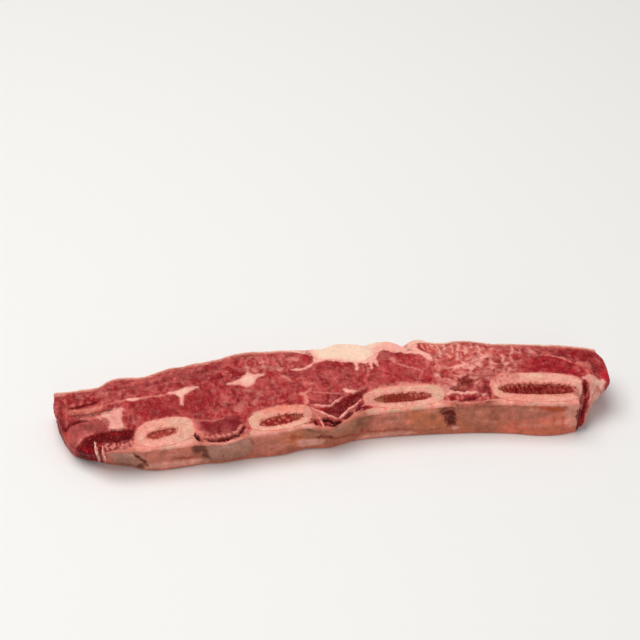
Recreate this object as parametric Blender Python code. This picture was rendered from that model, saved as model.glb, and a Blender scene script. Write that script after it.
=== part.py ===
"""A strip of beef ribs, sawn straight across four rib bones and lying on its cut face.

The strip runs along X. Its bone side faces -Y, its outer fat side faces +Y, and the saw cuts
are the top and the underside, which lies at Z = 0. Each rib stands through the slab from one
cut to the other, as a ring of hard bone round a spongy core.
"""

import math

import bmesh
import bpy
from mathutils import Matrix, Vector, noise

# Driving sizes, in metres.
STRIP_LENGTH = 0.285
THICK_AT_LEFT = 0.0170
THICK_AT_RIGHT = 0.0230
GAP = 0.0003

# The plan outline, as (x, y) knots of its bone side and its outer side.
BONE_SIDE = (
    (-0.1402, -0.0080), (-0.1348, -0.0205), (-0.1230, -0.0285), (-0.1050, -0.0308),
    (-0.0885, -0.0306), (-0.0715, -0.0303), (-0.0605, -0.0315), (-0.0470, -0.0285),
    (-0.0315, -0.0275), (-0.0195, -0.0258), (-0.0065, -0.0280), (0.0085, -0.0222),
    (0.0325, -0.0209), (0.0635, -0.0216), (0.0845, -0.0242), (0.1015, -0.0270),
    (0.1185, -0.0292), (0.1262, -0.0284),
)  # fmt: skip
OUTER_SIDE = (
    (-0.1435, 0.0158), (-0.1225, 0.0168), (-0.1125, 0.0217), (-0.0975, 0.0213),
    (-0.0862, 0.0250), (-0.0585, 0.0290), (-0.0470, 0.0315), (-0.0195, 0.0300),
    (-0.0070, 0.0289), (0.0030, 0.0309), (0.0160, 0.0291), (0.0295, 0.0295),
    (0.0372, 0.0258), (0.0445, 0.0286), (0.0565, 0.0247), (0.0705, 0.0243),
    (0.0815, 0.0207), (0.1125, 0.0149), (0.1345, 0.0094),
)  # fmt: skip

# The two ends in plan, as (share of the way from the bone side to the outer side, x) knots. The
# right end's foot is cut back at the bone side, and its top corner hangs over it.
LEFT_END = ((0.0, -0.1396), (0.35, -0.1420), (0.7, -0.1431), (1.0, -0.1433))
RIGHT_END_TOP = (
    (0.0, 0.1240), (0.15, 0.1276), (0.29, 0.1344), (0.39, 0.1378), (0.60, 0.1388),
    (0.82, 0.1384), (1.0, 0.1356),
)  # fmt: skip
RIGHT_END_FOOT = (
    (0.0, 0.1198), (0.18, 0.1228), (0.34, 0.1278), (0.55, 0.1330), (0.86, 0.1384), (1.0, 0.1370),
)  # fmt: skip

# How far the foot of the bone side stands in under the cut above it, as (x, depth) knots.
UNDERCUT = (
    (-0.1433, 0.0034), (-0.1345, 0.0072), (-0.1225, 0.0092), (-0.1080, 0.0066),
    (-0.0960, 0.0026), (-0.0800, 0.0026), (-0.0605, 0.0044), (-0.0440, 0.0024),
    (-0.0250, 0.0022), (-0.0065, 0.0048), (0.0100, 0.0022), (0.0325, 0.0012),
    (0.0600, 0.0000), (0.0850, -0.0002), (0.1000, -0.0012), (0.1090, -0.0004),
    (0.1165, 0.0014), (0.1225, 0.0030), (0.1400, 0.0036),
)  # fmt: skip
UNDERCUT_REACH = (-0.020, 0.030)

# Where the soft bone side sinks between two ribs: the middle, half length and depth of each.
SAGS = ((-0.0605, 0.0150, 0.0009), (-0.0060, 0.0140, 0.0013), (0.0655, 0.0120, 0.0008))
SAG_REACH = 0.012

# Beyond the last rib the lean falls away from a ridge down to the foot of the bone side.
RIDGE_Y = -0.0148
RIDGE_FALL = 1.1

# The lining is the skin over the ribs' inner side, thicker between two ribs than along them.
LINING_SPAN = (-0.1180, 0.1186)
LINING_THICK = (
    (-0.1180, 0.0012), (-0.1080, 0.0034), (-0.0885, 0.0045), (-0.0700, 0.0045),
    (-0.0600, 0.0024), (-0.0475, 0.0045), (-0.0190, 0.0040), (-0.0060, 0.0026),
    (0.0110, 0.0045), (0.0560, 0.0045), (0.0660, 0.0036), (0.0790, 0.0045),
    (0.1060, 0.0050), (0.1186, 0.0048),
)  # fmt: skip

# The fat cap is a thin rind along the outer side, with one thick wedge near the middle.
FAT_CAP_THICK = (
    (-0.1433, 0.0013), (-0.0250, 0.0013), (-0.0145, 0.0030), (-0.0080, 0.0072),
    (0.0020, 0.0118), (0.0130, 0.0142), (0.0190, 0.0112), (0.0260, 0.0070),
    (0.0340, 0.0068), (0.0430, 0.0036), (0.0520, 0.0015), (0.1390, 0.0013),
)  # fmt: skip

# Each rib: its ring's centre, half length, half depth and turn, and how square its outline
# is, then the same of its spongy core.
RIBS = (
    {"ring": ((-0.0882, -0.0196), 0.0147, 0.0095, 7.0, 2.6),
     "core": ((-0.0900, -0.0206), 0.0074, 0.0027, 14.0, 2.0)},
    {"ring": ((-0.0306, -0.0180), 0.0163, 0.0080, 5.0, 2.5),
     "core": ((-0.0306, -0.0196), 0.0110, 0.0029, 9.0, 2.1)},
    {"ring": ((0.0328, -0.0118), 0.0206, 0.0077, -2.0, 2.6),
     "core": ((0.0318, -0.0128), 0.0145, 0.0030, -2.0, 2.2)},
    {"ring": ((0.1002, -0.0150), 0.0230, 0.0104, -9.0, 3.0),
     "core": ((0.0998, -0.0163), 0.0190, 0.0036, -9.0, 2.6)},
)  # fmt: skip
RIB_PROUD = 0.0004
RIM_BEVEL = 0.0006
OUTLINE_SIDES = 36

# The seams of fat between the muscles, each an outline through a few (x, y) points.
SEAM_FATS = (
    ((-0.1340, -0.0028), (-0.1215, -0.0006), (-0.1140, 0.0016), (-0.1088, 0.0022),
     (-0.1096, -0.0058), (-0.1080, -0.0142), (-0.1160, -0.0144), (-0.1206, -0.0070)),
    ((-0.0850, 0.0068), (-0.0765, 0.0096), (-0.0690, 0.0094), (-0.0770, 0.0042),
     (-0.0783, -0.0026), (-0.0802, 0.0030)),
    ((-0.0545, 0.0096), (-0.0480, 0.0128), (-0.0440, 0.0180), (-0.0418, 0.0142),
     (-0.0352, 0.0134), (-0.0405, 0.0098), (-0.0447, 0.0056), (-0.0480, 0.0086)),
)  # fmt: skip

# The cleft is the open slit that runs in from the bone side, past the end of the lining and
# round the last rib, and leaves a flap of lean beyond it, joined on below its foot.
CLEFT_FOOT = 0.009
CLEFT = (
    (0.1140, -0.0330), (0.1200, -0.0340), (0.1216, -0.0268), (0.1244, -0.0222),
    (0.1252, -0.0178), (0.1246, -0.0138), (0.1210, -0.0170), (0.1165, -0.0230),
)  # fmt: skip

LEAN_CELLS = (68, 12, 4)
LINING_CELLS = (66, 2, 4)
FAT_CAP_CELLS = (68, 3, 3)
PIERCE = 0.002
HALF_WAY = THICK_AT_LEFT / 2.0
FRONT_Y = -0.045


def clear_scene():
    """Removes every object of the scene."""
    for obj in list(bpy.data.objects):
        bpy.data.objects.remove(obj)


def collection(name):
    """A new collection in the scene."""
    made = bpy.data.collections.new(name)
    bpy.context.scene.collection.children.link(made)
    return made


def finish(name, colour, roughness):
    """A Principled material of one colour."""
    made = bpy.data.materials.new(name)
    made.use_nodes = True
    shader = made.node_tree.nodes["Principled BSDF"]
    shader.inputs["Base Color"].default_value = (*colour, 1.0)
    shader.inputs["Roughness"].default_value = roughness
    shader.inputs["Metallic"].default_value = 0.0
    return made


def smooth_step(low, high, value):
    """0 below low, 1 above high, and an S-curve between."""
    share = min(1.0, max(0.0, (value - low) / (high - low)))
    return share * share * (3.0 - 2.0 * share)


def line_through(knots):
    """A function that follows the knots with cubics, whose slope at a knot is its neighbours'."""
    slopes = []
    for i in range(len(knots)):
        before, after = knots[max(0, i - 1)], knots[min(len(knots) - 1, i + 1)]
        slopes.append((after[1] - before[1]) / (after[0] - before[0]))

    def follow(at):
        at = min(knots[-1][0], max(knots[0][0], at))
        i = max(k for k in range(len(knots) - 1) if knots[k][0] <= at)
        (x0, y0), (x1, y1) = knots[i], knots[i + 1]
        wide = x1 - x0
        t = (at - x0) / wide
        return (
            y0 * (1 + 2 * t) * (1 - t) ** 2
            + y1 * t * t * (3 - 2 * t)
            + wide * slopes[i] * t * (1 - t) ** 2
            + wide * slopes[i + 1] * t * t * (t - 1)
        )

    return follow


bone_side = line_through(BONE_SIDE)
outer_side = line_through(OUTER_SIDE)
left_end = line_through(LEFT_END)
right_end_top = line_through(RIGHT_END_TOP)
right_end_foot = line_through(RIGHT_END_FOOT)
undercut_depth = line_through(UNDERCUT)
lining_thick = line_through(LINING_THICK)
fat_cap_thick = line_through(FAT_CAP_THICK)


def slab_thickness(x):
    """The slab's thickness, which grows evenly from the left end to the right."""
    share = x / STRIP_LENGTH + 0.5
    return THICK_AT_LEFT + (THICK_AT_RIGHT - THICK_AT_LEFT) * share


def right_end(share, up):
    """The right end's x, at this share of the way across and of the way up."""
    foot = right_end_foot(share)
    return foot + (right_end_top(share) - foot) * up


def slump(x, y):
    """How far the lean sinks at its two ends, where no bone holds it up."""
    corner = math.hypot(x + 0.1400, y + 0.0260)
    at_left = 0.0062 * (1.0 - smooth_step(0.004, 0.026, corner))
    at_right = 0.0018 * smooth_step(0.1270, 0.1400, x)
    past_ridge = RIDGE_FALL * max(0.0, RIDGE_Y - y) * smooth_step(0.1185, 0.1215, x)
    return at_left + at_right + past_ridge


def sag(x, y):
    """How far the cut sinks between two ribs, most at the bone side and nothing further in."""
    depth = 0.0
    for middle, half, deepest in SAGS:
        away = min(1.0, abs(x - middle) / half)
        depth += deepest * (1.0 - away * away) ** 2
    return depth * (1.0 - smooth_step(0.002, SAG_REACH, y - bone_side(x)))


def muscle_relief(x, y):
    """The low swells of the cut muscle bundles."""
    swell = noise.noise(Vector((x * 75.0, y * 120.0, 0.7)))
    grain = noise.noise(Vector((x * 210.0, y * 260.0, 4.2)))
    return 0.0007 * swell + 0.0003 * grain


def rim_drop(distance, radius):
    """How far a rounded rim lies below the cut, this far in from the outline."""
    if distance >= radius:
        return 0.0
    inward = radius - max(0.0, distance)
    return radius - math.sqrt(radius * radius - inward * inward)


def spread(share, crowding):
    """A share from 0 to 1, moved towards the nearer end so that rows crowd there."""
    crowded = 0.5 - 0.5 * math.cos(math.pi * share)
    return share + (crowded - share) * crowding


def subdivided_block(cells):
    """A unit cube from 0 to 1 each way, cut into that many cells along X, Y and Z."""
    bm = bmesh.new()
    bmesh.ops.create_cube(bm, size=1.0, matrix=Matrix.Translation((0.5, 0.5, 0.5)))
    for axis, count in enumerate(cells):
        along = [
            edge for edge in bm.edges
            if abs((edge.verts[1].co - edge.verts[0].co)[axis]) > 0.5
        ]  # fmt: skip
        bmesh.ops.subdivide_edges(bm, edges=along, cuts=count - 1, use_grid_fill=True)
    return bm


def object_of(name, bm, group):
    """An object that holds the bmesh, which it frees."""
    mesh = bpy.data.meshes.new(name)
    bmesh.ops.recalc_face_normals(bm, faces=bm.faces)
    bm.to_mesh(mesh)
    bm.free()
    made = bpy.data.objects.new(name, mesh)
    group.objects.link(made)
    return made


def band(name, cells, group, span, near, far, rim, top_relief):
    """A stretch of the slab between two lines of its plan, from the underside to the top cut.

    span gives the band's two ends as functions of the shares across and up, near and far give
    y at x, and rim is the radius of the rounded rims at near, at far and at the ends.
    """
    bm = subdivided_block(cells)
    for vert in bm.verts:
        along, across, up = vert.co
        along, across = spread(along, 0.35), spread(across, 0.8)
        x_low, x_high = span[0](across, up), span[1](across, up)
        x = x_low + (x_high - x_low) * along
        y_near, y_far = near(x), far(x)
        y = y_near + (y_far - y_near) * across
        drop = max(
            rim_drop(y - y_near, rim[0]),
            rim_drop(y_far - y, rim[1]),
            rim_drop(min(x - x_low, x_high - x), rim[2]),
        )
        top = slab_thickness(x) + top_relief(x, y) - drop
        z = drop + (top - drop) * up
        vert.co = undercut(Vector((x, y, z)))
    return object_of(name, bm, group)


def undercut(point):
    """The point, moved in under the top cut, as the ribs' inner side slopes in to its foot."""
    down = 1.0 - point.z / slab_thickness(point.x)
    near_bones = 1.0 - smooth_step(*UNDERCUT_REACH, point.y)
    return point + Vector((0.0, undercut_depth(point.x) * down * near_bones, 0.0))


def rounded_outline(centre, half_long, half_deep, turn, squareness, grow=0.0):
    """Points of a superellipse: an oval that grows squarer as squareness rises above 2."""
    points = []
    angle = math.radians(turn)
    for i in range(OUTLINE_SIDES):
        t = 2.0 * math.pi * i / OUTLINE_SIDES
        c, s = math.cos(t), math.sin(t)
        u = (half_long + grow) * math.copysign(abs(c) ** (2.0 / squareness), c)
        v = (half_deep + grow) * math.copysign(abs(s) ** (2.0 / squareness), s)
        x = centre[0] + u * math.cos(angle) - v * math.sin(angle)
        y = centre[1] + u * math.sin(angle) + v * math.cos(angle)
        points.append((x, y))
    return points


def drifted_outline(points, seed, depth):
    """The outline with each point moved in or out a little, as grown bone is never an oval."""
    middle = sum((Vector(p) for p in points), Vector((0.0, 0.0))) / len(points)
    moved = []
    for point in points:
        arm = Vector(point) - middle
        sway = noise.noise(Vector((arm.x * 90.0, arm.y * 90.0, seed)))
        moved.append(middle + arm * (1.0 + depth * sway / arm.length))
    return moved


def prism(name, outlines, group, smooth=False, rim=0.0):
    """An upright prism of flat outlines, each inside the last a hole, as a welded mesh.

    It runs from below the underside to above the top cut, so it can be trimmed or cut with.
    A smooth outline is a closed Bezier curve through its points. The rim is how far the edges
    of its two ends are bevelled.
    """
    curve = bpy.data.curves.new(name, "CURVE")
    curve.dimensions = "2D"
    curve.fill_mode = "BOTH"
    curve.resolution_u = 5
    tall = THICK_AT_RIGHT + 2.0 * PIERCE
    curve.extrude = tall / 2.0 - rim
    curve.bevel_depth = rim
    curve.bevel_resolution = 0
    curve.offset = -rim
    for outline in outlines:
        spline = curve.splines.new("BEZIER" if smooth else "POLY")
        points = spline.bezier_points if smooth else spline.points
        points.add(len(outline) - 1)
        for point, (x, y) in zip(points, outline):
            point.co = (x, y, 0.0) if smooth else (x, y, 0.0, 1.0)
            if smooth:
                point.handle_left_type = point.handle_right_type = "AUTO"
        spline.use_cyclic_u = True
    drawn = bpy.data.objects.new(name + "_outline", curve)
    drawn.location.z = tall / 2.0 - PIERCE
    group.objects.link(drawn)
    bpy.context.view_layer.update()
    mesh = bpy.data.meshes.new_from_object(
        drawn.evaluated_get(bpy.context.evaluated_depsgraph_get())
    )
    mesh.transform(drawn.matrix_world)
    bpy.data.objects.remove(drawn)
    bm = bmesh.new()
    bm.from_mesh(mesh)
    bmesh.ops.remove_doubles(bm, verts=bm.verts, dist=1e-6)
    bpy.data.meshes.remove(mesh)
    return object_of(name, bm, group)


def trim(piece, below, above):
    """Slides a prism's two ends to the underside and to the top cut, this far above each."""
    for vert in piece.data.vertices:
        if vert.co.z < HALF_WAY:
            vert.co.z += PIERCE + below
        else:
            vert.co.z += slab_thickness(vert.co.x) + above - THICK_AT_RIGHT - PIERCE
    return lean_over(piece)


def lean_over(piece):
    """Tilts an upright prism to follow the slab's undercut, and fills its two ends anew.

    A row of edges half way up keeps the twisted walls of neighbours from touching.
    """
    bm = bmesh.new()
    bm.from_mesh(piece.data)
    bm.normal_update()
    ends = [face for face in bm.faces if abs(face.normal.z) > 0.9]
    bmesh.ops.delete(bm, geom=ends, context="FACES_ONLY")
    walls = [*bm.verts, *bm.edges, *bm.faces]
    bmesh.ops.bisect_plane(bm, geom=walls, plane_co=(0.0, 0.0, HALF_WAY), plane_no=(0.0, 0.0, 1.0))
    for vert in bm.verts:
        vert.co = undercut(vert.co)
    rims = [edge for edge in bm.edges if len(edge.link_faces) == 1]
    for upper in (False, True):
        rim = [edge for edge in rims if (edge.verts[0].co.z > HALF_WAY) == upper]
        bmesh.ops.triangle_fill(bm, edges=rim, use_beauty=True)
    bmesh.ops.recalc_face_normals(bm, faces=bm.faces)
    bm.to_mesh(piece.data)
    bm.free()
    return piece


def cut(piece, cutter, solver="EXACT"):
    """Takes the cutter's shape out of the piece."""
    boolean = piece.modifiers.new(cutter.name, "BOOLEAN")
    boolean.operation = "DIFFERENCE"
    boolean.object = cutter
    boolean.solver = solver


def hide_cutters(group):
    """Marks every object of the group as a tool that isn't part of the strip."""
    for obj in group.objects:
        obj.hide_render = True
        obj.display_type = "WIRE"


def paint(piece, material):
    """Gives the piece its one material."""
    piece.data.materials.append(material)
    piece.data.shade_smooth()
    piece.data.set_sharp_from_angle(angle=math.radians(35.0))


def lining_room(tools):
    """The cutter that takes the lining's share out of the slab."""
    low, high = LINING_SPAN[0] - GAP, LINING_SPAN[1] + GAP
    inner = []
    for i in range(LINING_CELLS[0] + 1):
        x = low + (high - low) * spread(i / LINING_CELLS[0], 0.35)
        inner.append((x, bone_side(x) + lining_thick(x) + GAP))
    outline = [(low, FRONT_Y), (high, FRONT_Y), *reversed(inner)]
    return lean_over(prism("lining_room", [outline], tools))


def make_lean(group):
    """The lean meat: the whole slab, before the lining's share is cut out of it."""
    return band(
        "lean_meat", LEAN_CELLS, group,
        (lambda across, up: left_end(across), right_end),
        bone_side,
        lambda x: outer_side(x) - fat_cap_thick(x) - GAP,
        (0.0022, 0.0012, 0.0026),
        lambda x, y: muscle_relief(x, y) - slump(x, y) - sag(x, y),
    )  # fmt: skip


def make_lining(group):
    """The skin and fat over the ribs' inner side, which makes the strip's front face."""
    return band(
        "chest_lining", LINING_CELLS, group,
        (lambda across, up: LINING_SPAN[0], lambda across, up: LINING_SPAN[1]),
        bone_side,
        lambda x: bone_side(x) + lining_thick(x),
        (0.0011, 0.0004, 0.0004),
        lambda x, y: -sag(x, y),
    )  # fmt: skip


def make_fat_cap(group):
    """The rind of fat along the strip's outer side."""
    return band(
        "fat_cap", FAT_CAP_CELLS, group,
        (lambda across, up: left_end(1.0), lambda across, up: right_end(1.0, up)),
        lambda x: outer_side(x) - fat_cap_thick(x),
        outer_side,
        (0.0003, 0.0006, 0.0014),
        lambda x, y: 0.0003 + 0.0005 * noise.noise(Vector((x * 130.0, y * 130.0, 9.1))),
    )  # fmt: skip


def make_ribs(group, tools):
    """Every rib's ring and core, and the cutters that make room for the rings."""
    rings, cores, cutters = [], [], []
    for number, rib in enumerate(RIBS, start=1):
        ring = rib["ring"]
        core = rib["core"]
        outer = drifted_outline(rounded_outline(*ring), number, 0.0006)
        room = drifted_outline(rounded_outline(*ring, grow=GAP), number, 0.0006)
        hollow = rounded_outline(*core, grow=GAP)
        bone = prism(f"rib_bone_{number}", [outer, hollow[::-1]], group, rim=RIM_BEVEL)
        rings.append(trim(bone, 0.0, RIB_PROUD))
        sponge = prism(f"bone_core_{number}", [rounded_outline(*core)], group)
        cores.append(trim(sponge, 0.0004, RIB_PROUD - 0.0005))
        cutters.append(lean_over(prism(f"rib_room_{number}", [room], tools)))
    return rings, cores, cutters


def make_seam_fats(group, tools):
    """The seams of fat that run down through the lean, and the cutters for their pockets."""
    seams, cutters = [], []
    for number, outline in enumerate(SEAM_FATS, start=1):
        seam = trim(prism(f"seam_fat_{number}", [outline], group, smooth=True), 0.0, 0.0002)
        seams.append(seam)
        pocket = prism(f"seam_room_{number}", [outline], tools, smooth=True)
        grow_walls(pocket, GAP)
        cutters.append(lean_over(pocket))
    return seams, cutters


def make_cleft(tools):
    """The cutter for the cleft."""
    slit = prism("cleft", [CLEFT], tools, smooth=True)
    for vert in slit.data.vertices:
        vert.co.z = max(CLEFT_FOOT, vert.co.z)
    return lean_over(slit)


def centre_over_origin(pieces, groups):
    """Moves the groups' objects so that the middle of the pieces' plan lies at X = Y = 0."""
    points = [vert.co for piece in pieces for vert in piece.data.vertices]
    middle = [(min(p[axis] for p in points) + max(p[axis] for p in points)) / 2 for axis in (0, 1)]
    for group in groups:
        for obj in group.objects:
            obj.data.transform(Matrix.Translation((-middle[0], -middle[1], 0.0)))


def grow_walls(piece, distance):
    """Moves an upright prism's walls outwards, which leaves its two ends level."""
    bm = bmesh.new()
    bm.from_mesh(piece.data)
    bm.normal_update()
    for vert in bm.verts:
        sides = [f.normal for f in vert.link_faces if abs(f.normal.z) < 0.5]
        push = sum(sides, Vector()).normalized()
        reach = distance / max(0.3, push.dot(sides[0]))
        vert.co += push * reach
    bm.to_mesh(piece.data)
    bm.free()


def main():
    """Builds the strip, with each piece cut clear of its neighbours."""
    clear_scene()
    strip = collection("beef_rib_strip")
    tools = collection("cutters")
    lean_red = finish("lean_red", (0.36, 0.045, 0.05), 0.42)
    fat_cream = finish("fat_cream", (0.90, 0.60, 0.47), 0.50)
    lining_tan = finish("lining_tan", (0.44, 0.16, 0.10), 0.35)
    bone_ivory = finish("bone_ivory", (0.80, 0.38, 0.28), 0.45)
    marrow_red = finish("marrow_red", (0.24, 0.03, 0.02), 0.60)

    lean = make_lean(strip)
    lining = make_lining(strip)
    fat_cap = make_fat_cap(strip)
    rings, cores, rib_rooms = make_ribs(strip, tools)
    seams, seam_rooms = make_seam_fats(strip, tools)
    # The lean's cuts graze one another, which the exact solver doesn't survive.
    for room in (lining_room(tools), *rib_rooms, *seam_rooms, make_cleft(tools)):
        cut(lean, room, "MANIFOLD")
    for room in rib_rooms:
        cut(lining, room)
    hide_cutters(tools)
    centre_over_origin([lean, lining, fat_cap, *rings], [strip, tools])

    paint(lean, lean_red)
    paint(lining, lining_tan)
    for piece in (fat_cap, *seams):
        paint(piece, fat_cream)
    for ring in rings:
        paint(ring, bone_ivory)
    for core in cores:
        paint(core, marrow_red)


main()
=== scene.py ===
"""The looks of a strip of beef ribs, sawn across four rib bones and lying on its cut face.

The strip is drawn in plan. Sizes are in metres, and the plan's lines and the marks that are drawn
on its faces are given in millimetres.
`StripPlan` holds its outline, `Mark` and `Drawing` paint its faces, a class for each sub-assembly
makes the meshes, and a small class for each finish makes the materials.
"""

import logging
import math
from dataclasses import dataclass
from enum import Enum

import bpy
import numpy as np
from mathutils import Matrix, Vector


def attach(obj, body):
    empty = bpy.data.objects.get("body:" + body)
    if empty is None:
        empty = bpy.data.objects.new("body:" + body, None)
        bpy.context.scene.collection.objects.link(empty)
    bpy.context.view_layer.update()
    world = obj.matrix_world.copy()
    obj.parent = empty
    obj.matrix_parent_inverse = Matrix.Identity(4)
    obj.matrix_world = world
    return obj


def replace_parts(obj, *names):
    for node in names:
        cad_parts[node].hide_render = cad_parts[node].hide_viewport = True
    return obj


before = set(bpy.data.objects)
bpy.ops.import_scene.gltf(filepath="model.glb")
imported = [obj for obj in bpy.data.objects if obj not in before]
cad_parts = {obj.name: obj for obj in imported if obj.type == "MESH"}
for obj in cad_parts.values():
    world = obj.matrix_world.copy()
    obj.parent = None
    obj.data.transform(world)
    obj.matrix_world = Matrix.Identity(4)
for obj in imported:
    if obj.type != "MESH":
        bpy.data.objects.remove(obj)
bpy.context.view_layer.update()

Array = np.ndarray
Pair = tuple[float, float]
Triple = tuple[float, float, float]
Knots = tuple[Pair, ...]
# Each wave's height in metres, its size in millimetres, its seed and how many layers it has.
Waves = tuple[tuple[float, float, int, int], ...]
# How many rows are on a plug's top, on its wall and underneath.
Rows = tuple[int, int, int]
Socket = bpy.types.NodeSocket
Piece = bpy.types.Object
LOG = logging.getLogger("ribs")
MM = 1000.0
BODY = "root"
# From the point that the plan is drawn about to the frame's origin.
PLAN_TO_FRAME = np.array([0.002236, -0.000226, 0.0])


def pairs(xy: tuple[float, ...]) -> Knots:
    """Points, from their x and y in turn."""
    return tuple(zip(xy[::2], xy[1::2]))


def mm(*xy: float) -> Knots:
    """Points in metres, from their x and y in turn in millimetres."""
    return pairs(tuple(value / MM for value in xy))


def smooth_step(low: float, high: float, value: Array) -> Array:
    """0 below low, 1 above high, and 3t^2 - 2t^3 of the share t between."""
    share = np.clip((value - low) / (high - low), 0.0, 1.0)
    return share * share * (3.0 - 2.0 * share)


def swell(points: Array, size: float, seed: int) -> Array:
    """Gradient noise, from about -1 to 1.

    Every corner of a lattice has an arrow. A point takes the dot product of each arrow of its
    cell with its own way from that corner, blended by 6t^5 - 15t^4 + 10t^3 along each axis.

    Args:
        points: Places, as rows of two or three numbers.
        size: The lattice's spacing, in the points' unit.
        seed: Which noise.

    Returns:
        One number for each place.
    """
    if points.shape[-1] == 2:
        points = np.concatenate([points, np.full_like(points[..., :1], 0.5 * size)], axis=-1)
    rng = np.random.default_rng(seed)
    table = rng.permutation(256)
    arrows = rng.normal(size=(256, 3))
    arrows /= np.linalg.norm(arrows, axis=1, keepdims=True)
    scaled = points / size
    cell = np.floor(scaled).astype(int)
    inside = scaled - cell
    ease = inside**3 * (inside * (inside * 6.0 - 15.0) + 10.0)
    total = np.zeros(points.shape[:-1])
    for corner in np.ndindex(2, 2, 2):
        index = (cell + corner) & 255
        mixed = table[(table[index[..., 0]] + index[..., 1]) & 255]
        arrow = arrows[table[(mixed + index[..., 2]) & 255]]
        weight = np.prod(np.where(corner, ease, 1.0 - ease), axis=-1)
        total += weight * np.sum(arrow * (inside - corner), axis=-1)
    return total * 1.7


def rough(points: Array, size: float, seed: int, layers: int = 3) -> Array:
    """Swells over swells, each half the size and half the height of the one before."""
    return sum(
        swell(points, size / 2**layer, seed + 31 * layer) / 2**layer for layer in range(layers)
    )


def uneven(points: Array, waves: Waves) -> Array:
    """Waves of noise added up, in metres, at points in metres."""
    return sum(height * rough(points * MM, *wave) for height, *wave in waves)


def ridge(points: Array, size: float, seed: int, width: float) -> Array:
    """Branching lines, 1 along them and 0 away: 1 - |swell| / width, where a swell crosses zero."""
    return np.maximum(0.0, 1.0 - np.abs(swell(points, size, seed)) / width) ** 1.3


def share_of(value: Array) -> Array:
    """A value, kept between 0 and 1."""
    return np.clip(value, 0.0, 1.0)


def blend(under: Array, over: Array, amount: Array) -> Array:
    """One colour laid over another by an amount from 0 to 1."""
    return under + (over - under) * np.asarray(amount)[..., None]


def pits(plan: Array, size: float, seed: int) -> Array:
    """Distance to the nearest of points strewn one to a square, in squares.

    Args:
        plan: Places, as rows of two numbers.
        size: The squares' side, in the places' unit.
        seed: Which strewing.

    Returns:
        0 at a strewn point, and up to about 1 between them.
    """
    rng = np.random.default_rng(seed)
    strewn = rng.random((64, 64, 2))
    scaled = plan / size
    cell = np.floor(scaled).astype(int)
    nearest = np.full(plan.shape[:-1], 9.0)
    for step_x in (-1, 0, 1):
        for step_y in (-1, 0, 1):
            square = cell + (step_x, step_y)
            point = square + strewn[square[..., 0] & 63, square[..., 1] & 63]
            nearest = np.minimum(nearest, np.linalg.norm(scaled - point, axis=-1))
    return nearest


def smooth_path(points: Array, closed: bool, steps: int = 5) -> Array:
    """The path through the points whose every run is the cubic of Catmull and Rom.

    Args:
        points: The points that it goes through.
        closed: Whether it comes back to its first point.
        steps: Into how many short runs each of its runs is cut.

    Returns:
        The points of the finer path. A closed one doesn't repeat its first point.
    """
    if closed:
        before, start, end, after = (np.roll(points, shift, axis=0) for shift in (1, 0, -1, -2))
    else:
        padded = np.concatenate([points[:1], points, points[-1:]])
        before, start, end, after = padded[:-3], padded[1:-2], padded[2:-1], padded[3:]
    t = (np.arange(steps) / steps)[None, :, None]
    before, start, end, after = (p[:, None, :] for p in (before, start, end, after))
    path = 0.5 * (
        2.0 * start
        + (end - before) * t
        + (2.0 * before - 5.0 * start + 4.0 * end - after) * t**2
        + (3.0 * start - before - 3.0 * end + after) * t**3
    )
    path = path.reshape(-1, points.shape[1])
    return path if closed else np.concatenate([path, points[-1:]])


def distance_to_path(places: Array, path: Array) -> tuple[Array, Array]:
    """How far each place is from a path of straight runs.

    Args:
        places: Places in plan.
        path: The path's points in plan.

    Returns:
        The distance, and the share of the path's runs at which its nearest point lies.
    """
    nearest = np.full(places.shape[:-1], np.inf)
    share = np.zeros(places.shape[:-1])
    for run in range(len(path) - 1):
        start, way = path[run], path[run + 1] - path[run]
        t = share_of(((places - start) @ way) / max(way @ way, 1e-12))
        away = np.linalg.norm(places - start - t[..., None] * way, axis=-1)
        closer = away < nearest
        nearest = np.where(closer, away, nearest)
        share = np.where(closer, (run + t) / (len(path) - 1), share)
    return nearest, share


def distance_outside(places: Array, outline: Array) -> Array:
    """How far each place is outside a closed outline, negative inside it.

    A place is inside if a ray from it along X crosses the outline an odd number of times.
    """
    away, _ = distance_to_path(places, np.concatenate([outline, outline[:1]]))
    inside = np.zeros(places.shape[:-1], dtype=bool)
    for start, end in zip(outline, np.roll(outline, -1, axis=0)):
        spans = (start[1] > places[..., 1]) != (end[1] > places[..., 1])
        rise = end[1] - start[1] if end[1] != start[1] else 1e-12
        crossing = start[0] + (places[..., 1] - start[1]) * (end[0] - start[0]) / rise
        inside ^= spans & (places[..., 0] < crossing)
    return np.where(inside, -away, away)


@dataclass(frozen=True)
class KnotLine:
    """A smooth line through (at, value) knots, in metres."""

    knots: Knots

    def __call__(self, at: Array) -> Array:
        """The line's values. Each run is the cubic whose slope at a knot is its neighbours'."""
        x, y = np.array(self.knots).T
        last = len(x) - 1
        places = np.arange(last + 1)
        before, after = np.maximum(places - 1, 0), np.minimum(places + 1, last)
        slopes = (y[after] - y[before]) / (x[after] - x[before])
        at = np.clip(at, x[0], x[-1])
        i = np.clip(np.searchsorted(x, at, side="right") - 1, 0, last - 1)
        wide = x[i + 1] - x[i]
        t = (at - x[i]) / wide
        return (
            y[i] * (1 + 2 * t) * (1 - t) ** 2
            + y[i + 1] * t * t * (3 - 2 * t)
            + wide * slopes[i] * t * (1 - t) ** 2
            + wide * slopes[i + 1] * t * t * (t - 1)
        )


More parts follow.
